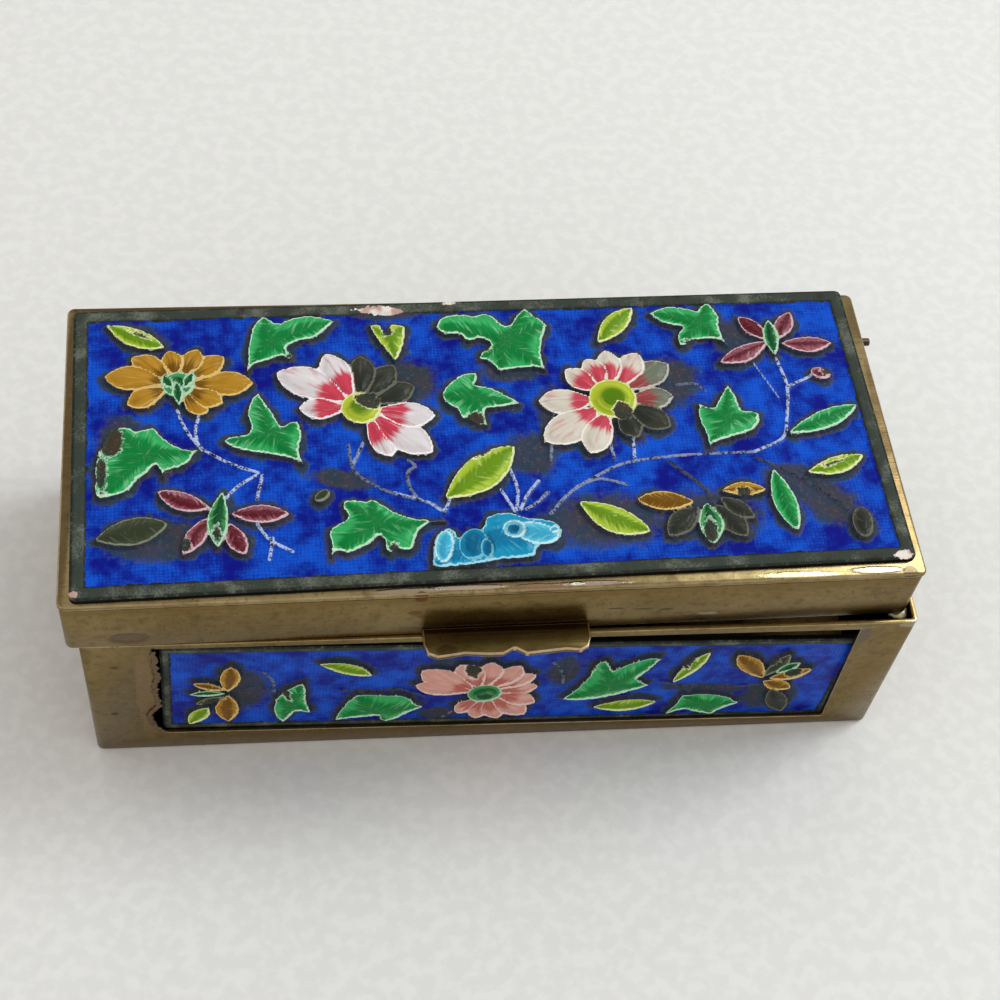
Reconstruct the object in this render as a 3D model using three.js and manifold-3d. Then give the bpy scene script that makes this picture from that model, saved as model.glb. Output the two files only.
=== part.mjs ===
// A small hinged brass box with two enamelled repousse panels, one on the lid and one in the front wall.
// Millimetres, +Z up. The origin is at the centre of the underside, the front faces -Y.
import * as THREE from "three";
import { mergeVertices } from "three/addons/utils/BufferGeometryUtils.js";
import Module from "manifold-3d";

const wasm = await Module();
wasm.setup();
const { Manifold, Mesh: SolidMesh } = wasm;

// ---------- driving dimensions ----------
const BOX_LENGTH = 102;
const BOX_DEPTH = 44;
const BODY_HEIGHT = 26.2;
const LID_HEIGHT = 9.3;
const SHEET = 0.6; // thickness of the folded brass sheet
const CORNER_RADIUS = 0.9;
const EDGE_ROUNDING = 0.4;

const TOP_PLATE = 0.8; // thickness of the plate soldered on the lid's walls
const TOP_PLATE_OVERHANG = 0.12;

// The worn hinge lets the lid sit askew.
const LID_SHIFT = new THREE.Vector2(-1.7, 0.6);
const LID_SKEW = THREE.MathUtils.degToRad(0.8);

// Window in the front wall, x and z of its corners, and the tear in its left edge.
const WINDOW_TOP_LEFT = [-42.6, 25.3];
const WINDOW_TOP_RIGHT = [43.9, 24.8];
const WINDOW_BOTTOM_RIGHT = [44.4, 2.1];
const WINDOW_BOTTOM_LEFT = [-42.2, 4.1];
const WINDOW_TEAR = [[-43.6, 6.4], [-43.9, 9.1], [-42.6, 11.6], [-42.9, 16.4], [-42.4, 18.2]];

// Front panel: it stands behind the wall and has slipped clockwise.
const FRONT_PANEL = {
  left: -43.0, right: 44.3, bottom: -9.9, top: 10.3,
  thickness: 0.6, border: 1.2, bead: 0.2,
  centre: [0.9, 12.45], tilt: THREE.MathUtils.degToRad(-1.9),
};

// Lid panel: it lies on the top plate and is turned a little on it.
const LID_PANEL = {
  left: -49.8, right: 49.8, bottom: -21.2, top: 21.2,
  thickness: 0.6, border: 1.8, bead: 0.2,
  centre: [-0.14, 0.26], tilt: THREE.MathUtils.degToRad(0.8),
};

// Raised forms of the panels: rim and crown height over the enamel ground, and how deep they are rooted.
const RIM_HEIGHT = 0.45;
const CROWN_HEIGHT = 0.9;
const ROOT_DEPTH = 0.3;

// Thumb tab, in the lid's own frame.
const TAB = { x: 0.75, depth: 4.0, thickness: 0.8, bottom: 26.7 };

// Hinge along the back.
const HINGE = {
  y: 23.9, z: 24.8, knuckleRadius: 1.25, boreRadius: 0.85, pinRadius: 0.55,
  length: 96, knuckles: 5, gap: 0.4, sheet: 0.7, leafBottom: 16, leafTop: 33, leafGap: 1.6,
  pinLeft: -45.5, pinRight: 54.6,
};

// ---------- the ornament: places in the panel's own plane ----------
// Ivy leaves: a hub and the points of the outline round it. A third value of 1 marks the tip of a lobe.
const LID_IVY = [
  { hub: [-25.7, 15.3],
    outline: [[-26.2, 19.3, 1], [-24.7, 18.1], [-21.7, 19.1], [-19.7, 19.0], [-17.5, 18.2, 1],
      [-18.7, 16.7], [-20.4, 15.5], [-23.2, 14.5], [-22.9, 12.7, 1], [-24.4, 12.8], [-26.1, 12.2],
      [-28.7, 10.5, 1], [-28.4, 14.0], [-27.8, 17.3]] },
  { hub: [-26.2, 0.6],
    outline: [[-27.5, 7.0, 1], [-26.7, 5.5], [-25.9, 4.0], [-25.3, 2.3], [-24.2, 2.4], [-23.0, 2.6, 1],
      [-22.6, 1.3], [-23.0, -2.0], [-22.6, -3.9, 1], [-25.5, -2.5], [-29.5, -1.5], [-31.9, -0.1, 1],
      [-31.2, 0.5], [-28.9, 1.0], [-28.9, 4.0], [-28.5, 5.5]] },
  { hub: [-41.2, -1.8],
    outline: [[-34.9, -1.2, 1], [-36.0, -2.8], [-37.5, -3.9], [-38.9, -5.1, 1], [-40.4, -3.4],
      [-42.0, -5.1], [-43.2, -6.6], [-46.3, -7.6, 1], [-46.9, -6.4], [-46.9, -2.1], [-45.7, 1.5],
      [-44.2, 2.5, 1], [-42.2, 1.9], [-40.6, 2.3, 1], [-39.2, 1.0], [-37.9, -0.3]] },
  { hub: [4.3, 14.2],
    outline: [[-4.7, 16.7, 1], [-4.1, 17.8], [-2.9, 18.5], [0.4, 18.3], [1.9, 18.6, 1], [3.8, 16.8],
      [5.1, 16.8], [5.8, 18.0], [7.1, 19.3, 1], [7.9, 18.3], [9.6, 16.4, 1], [8.6, 13.7], [8.3, 11.0],
      [8.5, 9.2, 1], [5.6, 9.7], [2.5, 9.3, 1], [1.5, 10.7], [0.3, 11.3, 1], [1.6, 13.0], [-0.5, 14.4],
      [-2.2, 15.5]] },
  { hub: [-0.8, 4.9],
    outline: [[-5.0, 5.5, 1], [-4.5, 6.7], [-1.8, 8.9], [-0.3, 9.1, 1], [-0.4, 7.2], [1.7, 6.4],
      [4.7, 4.0, 1], [1.7, 3.5], [0.3, 3.4], [0.2, 0.9, 1], [-2.0, 1.8], [-3.2, 3.3]] },
  { hub: [-14.6, -12.9],
    outline: [[-18.2, -9.6, 1], [-15.6, -9.7], [-14.5, -9.4, 1], [-12.7, -11.1], [-9.4, -12.6],
      [-6.4, -13.0, 1], [-9.4, -13.9], [-10.6, -16.4], [-11.4, -16.8, 1], [-12.6, -16.5],
      [-13.4, -17.0, 1], [-14.3, -14.8], [-15.8, -15.8], [-18.1, -16.8], [-20.1, -17.1, 1],
      [-20.0, -13.7], [-17.8, -11.6]] },
  { hub: [29.9, 15.9],
    outline: [[23.3, 17.9, 1], [24.6, 18.5], [28.0, 18.7], [29.8, 18.0], [31.3, 19.3, 1], [32.4, 16.8],
      [32.1, 15.1], [32.7, 12.1, 1], [30.0, 13.4], [26.5, 12.4, 1], [26.4, 13.6], [27.3, 15.5],
      [25.0, 16.3]] },
  { hub: [30.4, 0.2],
    outline: [[31.5, 5.7, 1], [32.3, 2.4], [34.6, 1.1, 1], [34.4, -0.3], [32.1, -1.9], [28.7, -2.9],
      [27.3, -3.7, 1], [27.1, -0.6], [27.2, 2.9, 1], [29.1, 2.3], [29.9, 3.4]] },
];
const FRONT_IVY = [
  { hub: [-27.0, -3.0],
    outline: [[-25.7, 2.1, 1], [-25.2, -2.1], [-24.5, -5.7, 1], [-26.5, -5.2], [-27.9, -8.0, 1],
      [-29.1, -4.7], [-29.0, -1.9, 1], [-28.2, -0.4]] },
  { hub: [-16.2, -4.4],
    outline: [[-21.3, -7.7, 1], [-20.4, -4.2], [-19.0, -1.4, 1], [-15.2, -1.5], [-13.2, -1.7],
      [-10.2, -4.6, 1], [-12.4, -6.5], [-14.8, -8.3, 1], [-15.7, -6.9], [-19.2, -7.3]] },
  { hub: [13.4, 0.4],
    outline: [[7.7, -3.3, 1], [9.6, 0.5], [10.4, 4.5], [11.7, 6.5, 1], [13.1, 3.9], [16.4, 6.5],
      [18.7, 6.8, 1], [16.6, 1.6], [18.4, 0.0, 1], [15.7, -1.8], [11.4, -3.5]] },
  { hub: [26.6, -4.9],
    outline: [[23.4, -3.0, 1], [25.9, -2.7], [29.0, -3.3], [31.5, -5.2, 1], [29.6, -6.7],
      [28.4, -8.3, 1], [25.9, -7.2], [22.2, -8.0, 1], [23.1, -5.2]] },
];

// Scholar's rock, given in the same way.
const LID_ROCK = {
  hub: [0.8, -15.4],
  outline: [[-5.4, -19.2], [-4.8, -15.6], [-2.7, -14.7], [-1.4, -12.7], [0.0, -12.2], [1.6, -12.3],
    [5.0, -13.3], [6.6, -13.9], [7.2, -14.9, 1], [7.0, -16.1], [4.5, -16.9], [3.6, -18.4],
    [-0.7, -18.8]],
};

// Slim leaves: [base x, y, tip x, y, half width].
const LID_BLADES = [
  [-45.8, 18.6, -38.7, 14.7, 1.4], [-47.0, -13.4, -38.6, -11.6, 1.9], [-10.4, 17.4, -10.1, 11.4, 2.1],
  [-6.1, -9.8, 3.1, -2.5, 2.4], [15.8, 13.2, 21.2, 18.9, 1.5], [37.8, -2.2, 47.6, 1.8, 1.4],
  [38.9, -8.2, 46.6, -6.0, 1.3], [9.9, -11.1, 17.9, -15.8, 1.9], [34.7, -7.5, 35.9, -16.7, 1.5],
];
const FRONT_BLADES = [
  [-39.7, -8.1, -37.3, -3.8, 1.2], [-24.0, 6.8, -17.3, 3.7, 1.2], [12.0, -5.7, 20.3, -4.6, 1.5],
  [21.4, 0.5, 24.7, 8.2, 1.1],
];

// Open flowers: centre, radius of the dome in the middle, petals as [direction in degrees, reach].
const LID_FLOWERS = [
  { centre: [-37.1, 8.8], dome: 1.9,
    petals: [[359, 9.1], [36, 7.0], [65, 6.0], [101, 5.5], [141, 7.2], [170, 9.0], [205, 6.8],
      [306, 5.8], [329, 6.2]] },
  { centre: [-15.1, 4.2], dome: 2.4,
    petals: [[25, 7.6], [55, 8.0], [86, 8.2], [114, 9.5], [149, 11.7], [177, 7.6], [293, 8.2], [319, 10.9],
      [350, 9.2]] },
  { centre: [16.4, 4.2], dome: 3.0,
    petals: [[0, 7.8], [33, 9.6], [59, 8.4], [88, 7.8], [112, 7.0], [138, 7.3], [180, 9.5], [213, 11.4],
      [244, 9.3], [290, 6.6], [325, 8.2]] },
];
const FRONT_FLOWERS = [
  { centre: [-2.7, -1.4], dome: 2.2,
    petals: [[14, 6.9], [38, 7.6], [62, 8.0], [90, 8.0], [118, 8.5], [144, 10.6], [165, 9.4], [240, 6.0],
      [266, 6.7], [290, 7.2], [315, 8.4], [338, 7.4]] },
];

// Loose petals of the flowers seen from the side: [base x, y, tip x, y, half width].
const LID_PETALS = [
  [-33.6, -9.8, -39.8, -7.0, 1.3], [-31.4, -10.6, -24.6, -11.0, 1.3], [-33.6, -10.8, -37.0, -16.0, 1.2],
  [-31.8, -11.8, -29.9, -16.4, 1.2], [-32.2, -7.4, -33.0, -15.2, 1.2],
  [38.2, 12.6, 31.2, 9.4, 1.3], [38.2, 12.8, 34.9, 16.8, 1.2], [39.4, 12.8, 42.1, 17.4, 1.2],
  [39.8, 12.2, 46.6, 12.0, 1.3], [38.7, 10.2, 38.9, 16.2, 1.0],
  [24.0, -11.9, 17.0, -11.1, 1.4], [27.6, -10.4, 33.2, -10.5, 1.0], [24.4, -12.6, 20.0, -16.6, 1.6],
  [25.4, -12.0, 25.2, -18.0, 1.5], [26.4, -12.4, 29.6, -17.2, 1.6], [27.2, -11.4, 31.0, -14.6, 1.2],
];
const FRONT_PETALS = [
  [-34.9, 0.2, -34.6, 6.5, 1.3], [-34.9, -0.6, -34.8, -7.5, 1.5], [-35.2, 0.6, -39.2, 2.4, 0.8],
  [-35.2, -0.2, -39.6, -0.3, 0.7], [-35.2, -1.0, -38.9, -2.8, 0.8],
  [33.2, 1.4, 28.5, 7.4, 1.5], [33.2, 1.8, 35.3, 7.4, 1.1], [34.0, 1.2, 39.2, 3.4, 1.3],
  [33.4, 0.6, 37.6, -1.6, 1.3], [35.0, -1.6, 38.0, -7.8, 1.5], [34.6, 2.6, 37.2, 5.2, 1.0],
];

// Standing slab of the rock, and buds: [x, y, half length, half width, direction in degrees].
const LID_OVALS = [
  [-6.9, -16.7, 2.7, 1.5, 80],
  [44.0, 7.1, 1.3, 0.9, 160], [44.2, -15.9, 2.2, 1.3, 85], [-20.6, -8.6, 1.1, 0.7, 40],
];

// ---------- materials ----------
function material(name, color, roughness, metalness) {
  return new THREE.MeshStandardMaterial({ name, color, roughness, metalness });
}
const brass = (name) => material(name, 0x7a6a44, 0.38, 1.0);
const enamel = material("enamel", 0x1a3aa8, 0.25, 0.0);
const wire = material("wire", 0x3a3024, 0.5, 1.0);

// ---------- solids ----------
function toSolid(geometry) {
  const bare = geometry.clone();
  bare.deleteAttribute("normal");
  bare.deleteAttribute("uv");
  const merged = mergeVertices(bare, 1e-4);
  return new Manifold(new SolidMesh({
    numProp: 3,
    vertProperties: new Float32Array(merged.attributes.position.array),
    triVerts: new Uint32Array(merged.index.array),
  }));
}

function toGeometry(solid) {
  const mesh = solid.getMesh();
  const geometry = new THREE.BufferGeometry();
  geometry.setAttribute("position", new THREE.BufferAttribute(new Float32Array(mesh.vertProperties), 3));
  geometry.setIndex(new THREE.BufferAttribute(new Uint32Array(mesh.triVerts), 1));
  geometry.computeVertexNormals();
  return geometry;
}

const join = (solids) => solids.reduce((whole, piece) => whole.add(piece));

function fromFaces(faces) {
  const geometry = new THREE.BufferGeometry();
  geometry.setAttribute("position", new THREE.Float32BufferAttribute(faces.flat(2), 3));
  return mergeVertices(geometry, 1e-4);
}

function block(x0, x1, y0, y1, z0, z1) {
  const geometry = new THREE.BoxGeometry(x1 - x0, y1 - y0, z1 - z0);
  geometry.translate((x0 + x1) / 2, (y0 + y1) / 2, (z0 + z1) / 2);
  return geometry;
}

// Rod along X.
function rod(radius, x0, x1, y, z, sides = 20) {
  const geometry = new THREE.CylinderGeometry(radius, radius, x1 - x0, sides);
  geometry.rotateZ(Math.PI / 2);
  geometry.translate((x0 + x1) / 2, y, z);
  return geometry;
}

// Prism on an outline of [x, y] points, standing from z0 to z1.
function prism(points, z0, z1) {
  const shape = new THREE.Shape(points.map(([x, y]) => new THREE.Vector2(x, y)));
  const geometry = new THREE.ExtrudeGeometry(shape, { depth: z1 - z0, bevelEnabled: false });
  geometry.translate(0, 0, z0);
  return geometry;
}

// Closed slab on a round-cornered rectangle: each level is [height, how far the outline is drawn in].
function roundedSlab({ left, right, bottom, top }, radius, levels, cornerSteps = 4) {
  const ring = ([z, inset]) => {
    const r = Math.max(radius - inset, 0.05);
    const corners = [[right, top, 0], [left, top, 90], [left, bottom, 180], [right, bottom, 270]];
    return corners.flatMap(([cx, cy, start]) => Array.from({ length: cornerSteps + 1 }, (_, i) => {
      const angle = THREE.MathUtils.degToRad(start + (90 * i) / cornerSteps);
      const x = cx - Math.sign(cx) * (r + inset);
      const y = cy - Math.sign(cy) * (r + inset);
      return [x + r * Math.cos(angle), y + r * Math.sin(angle), z];
    }));
  };
  const rings = levels.map(ring);
  const count = rings[0].length;
  const faces = [];
  for (let i = 0; i < count; i += 1) {
    const j = (i + 1) % count;
    for (let k = 0; k + 1 < rings.length; k += 1) {
      const [low, high] = [rings[k], rings[k + 1]];
      faces.push([low[i], low[j], high[j]], [low[i], high[j], high[i]]);
    }
    if (i > 0 && j > 0) {
      faces.push([rings[0][0], rings[0][j], rings[0][i]]);
      faces.push([rings.at(-1)[0], rings.at(-1)[i], rings.at(-1)[j]]);
    }
  }
  return fromFaces(faces);
}

function centred(length, depth) {
  return { left: -length / 2, right: length / 2, bottom: -depth / 2, top: depth / 2 };
}

// ---------- the ornament's raised forms ----------
const polar = ([x, y], degrees, radius) => {
  const angle = THREE.MathUtils.degToRad(degrees);
  return [x + radius * Math.cos(angle), y + radius * Math.sin(angle)];
};

// Triangles from each side of a ring up to a crown point.
const fan = (ring, crown) => ring.map((a, i) => [a, ring[(i + 1) % ring.length], crown]);
const atRim = ([x, y]) => [x, y, RIM_HEIGHT];

// Closed form over an outline, with its top given as triangles.
function raisedForm(outline, top) {
  const root = ([x, y]) => [x, y, -ROOT_DEPTH];
  const walls = outline.flatMap((a, i) => {
    const b = outline[(i + 1) % outline.length];
    return [[root(a), root(b), atRim(b)], [root(a), atRim(b), atRim(a)]];
  });
  const flat = outline.map(([x, y]) => new THREE.Vector2(x, y));
  const underside = THREE.ShapeUtils.triangulateShape(flat, [])
    .map(([a, b, c]) => [root(outline[a]), root(outline[c]), root(outline[b])]);
  return toSolid(fromFaces([...walls, ...underside, ...top]));
}

// Half width of a blade along its length, as shares of its length and of its largest half width.
const BLADE_PROFILE = [[0, 0.3], [0.3, 0.85], [0.6, 1], [0.85, 0.55]];

// Pointed petal or slim leaf with a ridge, widest a little past its middle.
function blade(x0, y0, x1, y1, halfWidth) {
  const along = new THREE.Vector2(x1 - x0, y1 - y0);
  const across = new THREE.Vector2(-along.y, along.x).normalize().multiplyScalar(halfWidth);
  const at = (t, side) => [x0 + along.x * t + across.x * side, y0 + along.y * t + across.y * side];
  const right = BLADE_PROFILE.map(([t, side]) => at(t, -side));
  const left = BLADE_PROFILE.toReversed().map(([t, side]) => at(t, side));
  const outline = [...right, at(1, 0), ...left];
  return raisedForm(outline, fan(outline.map(atRim), [...at(0.5, 0), CROWN_HEIGHT]));
}

// Leaf or rock: it rises from its outline to the hub, with a ridge out to the tip of each lobe.
function leaf({ hub, outline }) {
  const RIDGE_END = 0.55; // share of the way from the hub to the tip
  const RIDGE_HEIGHT = CROWN_HEIGHT * 0.9;
  const turnsLeft = !THREE.ShapeUtils.isClockWise(outline.map(([x, y]) => new THREE.Vector2(x, y)));
  const ring = turnsLeft ? outline : outline.toReversed();
  const crown = [...hub, CROWN_HEIGHT];
  const top = ring.flatMap((point, i) => {
    const before = ring.at(i - 1);
    const after = ring[(i + 1) % ring.length];
    const isTip = point.length === 3;
    if (isTip) {
      const ridge = [0, 1].map((k) => THREE.MathUtils.lerp(hub[k], point[k], RIDGE_END));
      return fan([crown, atRim(before), atRim(point), atRim(after)], [...ridge, RIDGE_HEIGHT]);
    }
    return after.length === 3 ? [] : [[atRim(point), atRim(after), crown]];
  });
  return raisedForm(ring, top);
}

function oval(x, y, halfLength, halfWidth, direction, sides = 10) {
  const turn = THREE.MathUtils.degToRad(direction);
  const outline = Array.from({ length: sides }, (_, i) => {
    const angle = (2 * Math.PI * i) / sides;
    const [u, v] = [halfLength * Math.cos(angle), halfWidth * Math.sin(angle)];
    return [x + u * Math.cos(turn) - v * Math.sin(turn), y + u * Math.sin(turn) + v * Math.cos(turn)];
  });
  return raisedForm(outline, fan(outline.map(atRim), [x, y, CROWN_HEIGHT]));
}

function flower({ centre, dome, petals }) {
  const PETAL_SLIMNESS = 0.17; // half width for each millimetre of reach
  const PETAL_LEAST = 0.35;
  const leaves = petals.map(([direction, reach]) => {
    const base = polar(centre, direction, dome * 0.5);
    const tip = polar(centre, direction, reach);
    return blade(...base, ...tip, PETAL_LEAST + reach * PETAL_SLIMNESS);
  });
  return join([...leaves, oval(...centre, dome, dome, 0, 12)]);
}

// Enamelled panel in its own plane: the ground is at z = 0, the beaded border stands over it.
function enamelPanel(panel, radius, ornament) {
  const { left, right, bottom, top, thickness, border, bead } = panel;
  const BEAD_ROUNDING = 0.3;
  const TURNED_IN = 0.15;
  const tray = toSolid(roundedSlab(panel, radius,
    [[-thickness, TURNED_IN], [0, 0], [bead / 2, 0], [bead, BEAD_ROUNDING]]));
  const field = { left: left + border, right: right - border, bottom: bottom + border, top: top - border };
  const sunk = toSolid(roundedSlab(field, radius,
    [[0, BEAD_ROUNDING], [bead, BEAD_ROUNDING / 3], [bead * 3, 0]]));
  return join([tray.subtract(sunk), ...ornament]);
}

// ---------- pieces ----------
const PAST = 1; // how far a cutting form runs past what it cuts
const outerPlan = centred(BOX_LENGTH, BOX_DEPTH);
const innerPlan = centred(BOX_LENGTH - 2 * SHEET, BOX_DEPTH - 2 * SHEET);
const INNER_RADIUS = CORNER_RADIUS - SHEET;

function boxBody() {
  const foot = [[0, EDGE_ROUNDING], [EDGE_ROUNDING * 0.3, EDGE_ROUNDING * 0.3], [EDGE_ROUNDING, 0]];
  const outside = toSolid(roundedSlab(outerPlan, CORNER_RADIUS, [...foot, [BODY_HEIGHT, 0]]));
  const inside = toSolid(roundedSlab(innerPlan, INNER_RADIUS, [[SHEET, 0], [BODY_HEIGHT + PAST, 0]]));
  const windowOutline = [WINDOW_BOTTOM_LEFT, WINDOW_BOTTOM_RIGHT, WINDOW_TOP_RIGHT, WINDOW_TOP_LEFT,
    ...WINDOW_TEAR.toReversed()];
  const opening = prism(windowOutline, -PAST, SHEET * 1.5);
  opening.rotateX(Math.PI / 2);
  opening.translate(0, -BOX_DEPTH / 2, 0);
  return outside.subtract(inside).subtract(toSolid(opening));
}

function lidWalls() {
  const [low, high] = [BODY_HEIGHT, BODY_HEIGHT + LID_HEIGHT - TOP_PLATE];
  const lip = EDGE_ROUNDING / 2;
  const outside = toSolid(roundedSlab(outerPlan, CORNER_RADIUS, [[low, lip], [low + lip, 0], [high, 0]]));
  const inside = toSolid(roundedSlab(innerPlan, INNER_RADIUS, [[low - PAST, 0], [high + PAST, 0]]));
  return outside.subtract(inside);
}

function lidTopPlate() {
  const [low, high] = [BODY_HEIGHT + LID_HEIGHT - TOP_PLATE, BODY_HEIGHT + LID_HEIGHT];
  const outline = centred(BOX_LENGTH + 2 * TOP_PLATE_OVERHANG, BOX_DEPTH + 2 * TOP_PLATE_OVERHANG);
  const edge = TOP_PLATE * 0.35;
  const underEdge = [[low, edge * 0.6], [low + edge, 0]];
  const upperEdge = [[high - edge, 0], [high - edge * 0.3, edge * 0.3], [high, edge]];
  return toSolid(roundedSlab(outline, CORNER_RADIUS, [...underEdge, ...upperEdge]));
}

// The tab's cut edge from left to right: [x, share of its depth]. Two shallow scallops meet in a notch.
const TAB_EDGE = [
  [-10.1, 0], [-10.1, 0.55], [-9.7, 0.86], [-8.5, 1], [-5.2, 0.9], [-2.4, 0.97], [-0.65, 0.97],
  [0.75, 0.78], [2.15, 1], [3.95, 0.96], [6.95, 0.9], [8.7, 0.96], [9.7, 0.84], [10.1, 0.55], [10.1, 0],
];

function thumbTab() {
  const points = TAB_EDGE.map(([x, reach]) => [x + TAB.x, -BOX_DEPTH / 2 - TAB.depth * reach]);
  return toSolid(prism(points, TAB.bottom, TAB.bottom + TAB.thickness));
}

function knuckleSpans() {
  const pitch = (HINGE.length + HINGE.gap) / HINGE.knuckles;
  return Array.from({ length: HINGE.knuckles }, (_, i) => {
    const start = -HINGE.length / 2 + i * pitch;
    return [start, start + pitch - HINGE.gap];
  });
}

// Every other knuckle, starting with the first or the second, each with the arm that joins it to its plate.
function knucklesOf(first, arm) {
  const own = knuckleSpans().filter((_, i) => i % 2 === first);
  return own.flatMap((span) => [arm(span), knuckle(span)]);
}

const bore = () => toSolid(rod(HINGE.boreRadius, -HINGE.length, HINGE.length, HINGE.y, HINGE.z));
const knuckle = ([x0, x1]) => toSolid(rod(HINGE.knuckleRadius, x0, x1, HINGE.y, HINGE.z));

function hingeLeafBody() {
  const { length, sheet, leafBottom, leafGap, knuckleRadius, z } = HINGE;
  const back = BOX_DEPTH / 2;
  const plateTop = z - leafGap;
  const armTop = z + knuckleRadius * 0.4;
  const plate = toSolid(block(-length / 2, length / 2, back, back + sheet, leafBottom, plateTop));
  const arm = (span) => toSolid(block(...span, back, back + sheet, plateTop - PAST, armTop));
  return join([plate, ...knucklesOf(0, arm)]).subtract(bore());
}

function hingeLeafLid(lidPlacement) {
  const { length, sheet, leafTop, gap, z } = HINGE;
  const back = BOX_DEPTH / 2;
  const foot = BODY_HEIGHT + 0.5; // the plate's lower edge, clear of the body's knuckles
  const inLid = (geometry) => toSolid(geometry.applyMatrix4(lidPlacement));
  const plate = inLid(block(-length / 2, length / 2, back, back + sheet, foot, leafTop));
  const arm = ([x0, x1]) => {
    const [left, right] = [x0 - LID_SHIFT.x + gap, x1 - LID_SHIFT.x - gap];
    return inLid(block(left, right, back, back + sheet, z, BODY_HEIGHT + PAST));
  };
  return join([plate, ...knucklesOf(1, arm)]).subtract(bore());
}

function ornament(leaves, blades, flowers, petals, ovals) {
  return [...leaves.map(leaf), ...blades.map((values) => blade(...values)), ...flowers.map(flower),
    ...petals.map((values) => blade(...values)), ...ovals.map((values) => oval(...values))];
}

// ---------- assembly ----------
function piece(name, solid, material) {
  const mesh = new THREE.Mesh(toGeometry(solid), material);
  mesh.name = name;
  return mesh;
}

const group = new THREE.Group();

const lid = new THREE.Group();
lid.position.set(LID_SHIFT.x, LID_SHIFT.y, 0);
lid.rotation.z = LID_SKEW;
lid.updateMatrix();

const frontOrnament = ornament(FRONT_IVY, FRONT_BLADES, FRONT_FLOWERS, FRONT_PETALS, []);
const frontPanel = piece("front_plaque", enamelPanel(FRONT_PANEL, 0.5, frontOrnament), enamel);
frontPanel.rotation.z = FRONT_PANEL.tilt;
const frontStand = new THREE.Group();
const frontGround = -BOX_DEPTH / 2 + SHEET + FRONT_PANEL.bead;
frontStand.position.set(FRONT_PANEL.centre[0], frontGround, FRONT_PANEL.centre[1]);
frontStand.rotation.x = Math.PI / 2;
frontStand.add(frontPanel);

const lidOrnament = ornament([...LID_IVY, LID_ROCK], LID_BLADES, LID_FLOWERS, LID_PETALS, LID_OVALS);
const lidPanel = piece("lid_plaque", enamelPanel(LID_PANEL, 0.8, lidOrnament), enamel);
lidPanel.position.set(...LID_PANEL.centre, BODY_HEIGHT + LID_HEIGHT + LID_PANEL.thickness);
lidPanel.rotation.z = LID_PANEL.tilt;

lid.add(piece("lid_walls", lidWalls(), brass("lid walls")));
lid.add(piece("lid_top_plate", lidTopPlate(), brass("lid top")));
lid.add(lidPanel);
lid.add(piece("thumb_tab", thumbTab(), brass("tab")));

const pin = rod(HINGE.pinRadius, HINGE.pinLeft, HINGE.pinRight, HINGE.y, HINGE.z, 16);
group.add(piece("box_body", boxBody(), brass("body")));
group.add(frontStand);
group.add(piece("hinge_leaf_body", hingeLeafBody(), brass("hinge")));
group.add(piece("hinge_pin", toSolid(pin), wire));
group.add(piece("hinge_leaf_lid", hingeLeafLid(lid.matrix), brass("hinge")));
group.add(lid);

export default group;
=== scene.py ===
"""Looks of a small hinged brass box with two enamelled repousse panels.

Sizes are in millimetres. Every mesh is written in metres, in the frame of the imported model: +Z up, the front
faces -Y and the origin is at the centre of the underside.
"""

import logging
import math
from dataclasses import dataclass, replace
from enum import Enum

import bpy
import numpy as np
from mathutils import Matrix, Vector


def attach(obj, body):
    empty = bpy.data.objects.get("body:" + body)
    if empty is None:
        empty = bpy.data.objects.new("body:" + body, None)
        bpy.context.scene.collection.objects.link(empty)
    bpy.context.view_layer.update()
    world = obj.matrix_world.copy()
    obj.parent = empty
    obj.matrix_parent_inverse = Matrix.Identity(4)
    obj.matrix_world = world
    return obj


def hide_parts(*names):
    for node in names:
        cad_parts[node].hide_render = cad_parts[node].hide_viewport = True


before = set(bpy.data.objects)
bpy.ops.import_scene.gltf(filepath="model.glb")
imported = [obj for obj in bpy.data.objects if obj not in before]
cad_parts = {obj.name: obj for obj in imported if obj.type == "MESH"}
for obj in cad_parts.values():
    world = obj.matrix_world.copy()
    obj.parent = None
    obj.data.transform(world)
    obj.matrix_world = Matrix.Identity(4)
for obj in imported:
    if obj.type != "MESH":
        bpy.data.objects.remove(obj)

log = logging.getLogger("enamel_box")

MM = 0.001
Colour = tuple[float, float, float]
Point = tuple[float, float]
Place = tuple[float, float, float]


def srgb(red: float, green: float, blue: float) -> Colour:
    """Linear colour of an sRGB colour given from 0 to 255."""

    def linear(channel: float) -> float:
        """One channel made linear."""
        share = channel / 255
        return share / 12.92 if share <= 0.04045 else ((share + 0.055) / 1.055) ** 2.4

    return linear(red), linear(green), linear(blue)


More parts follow.
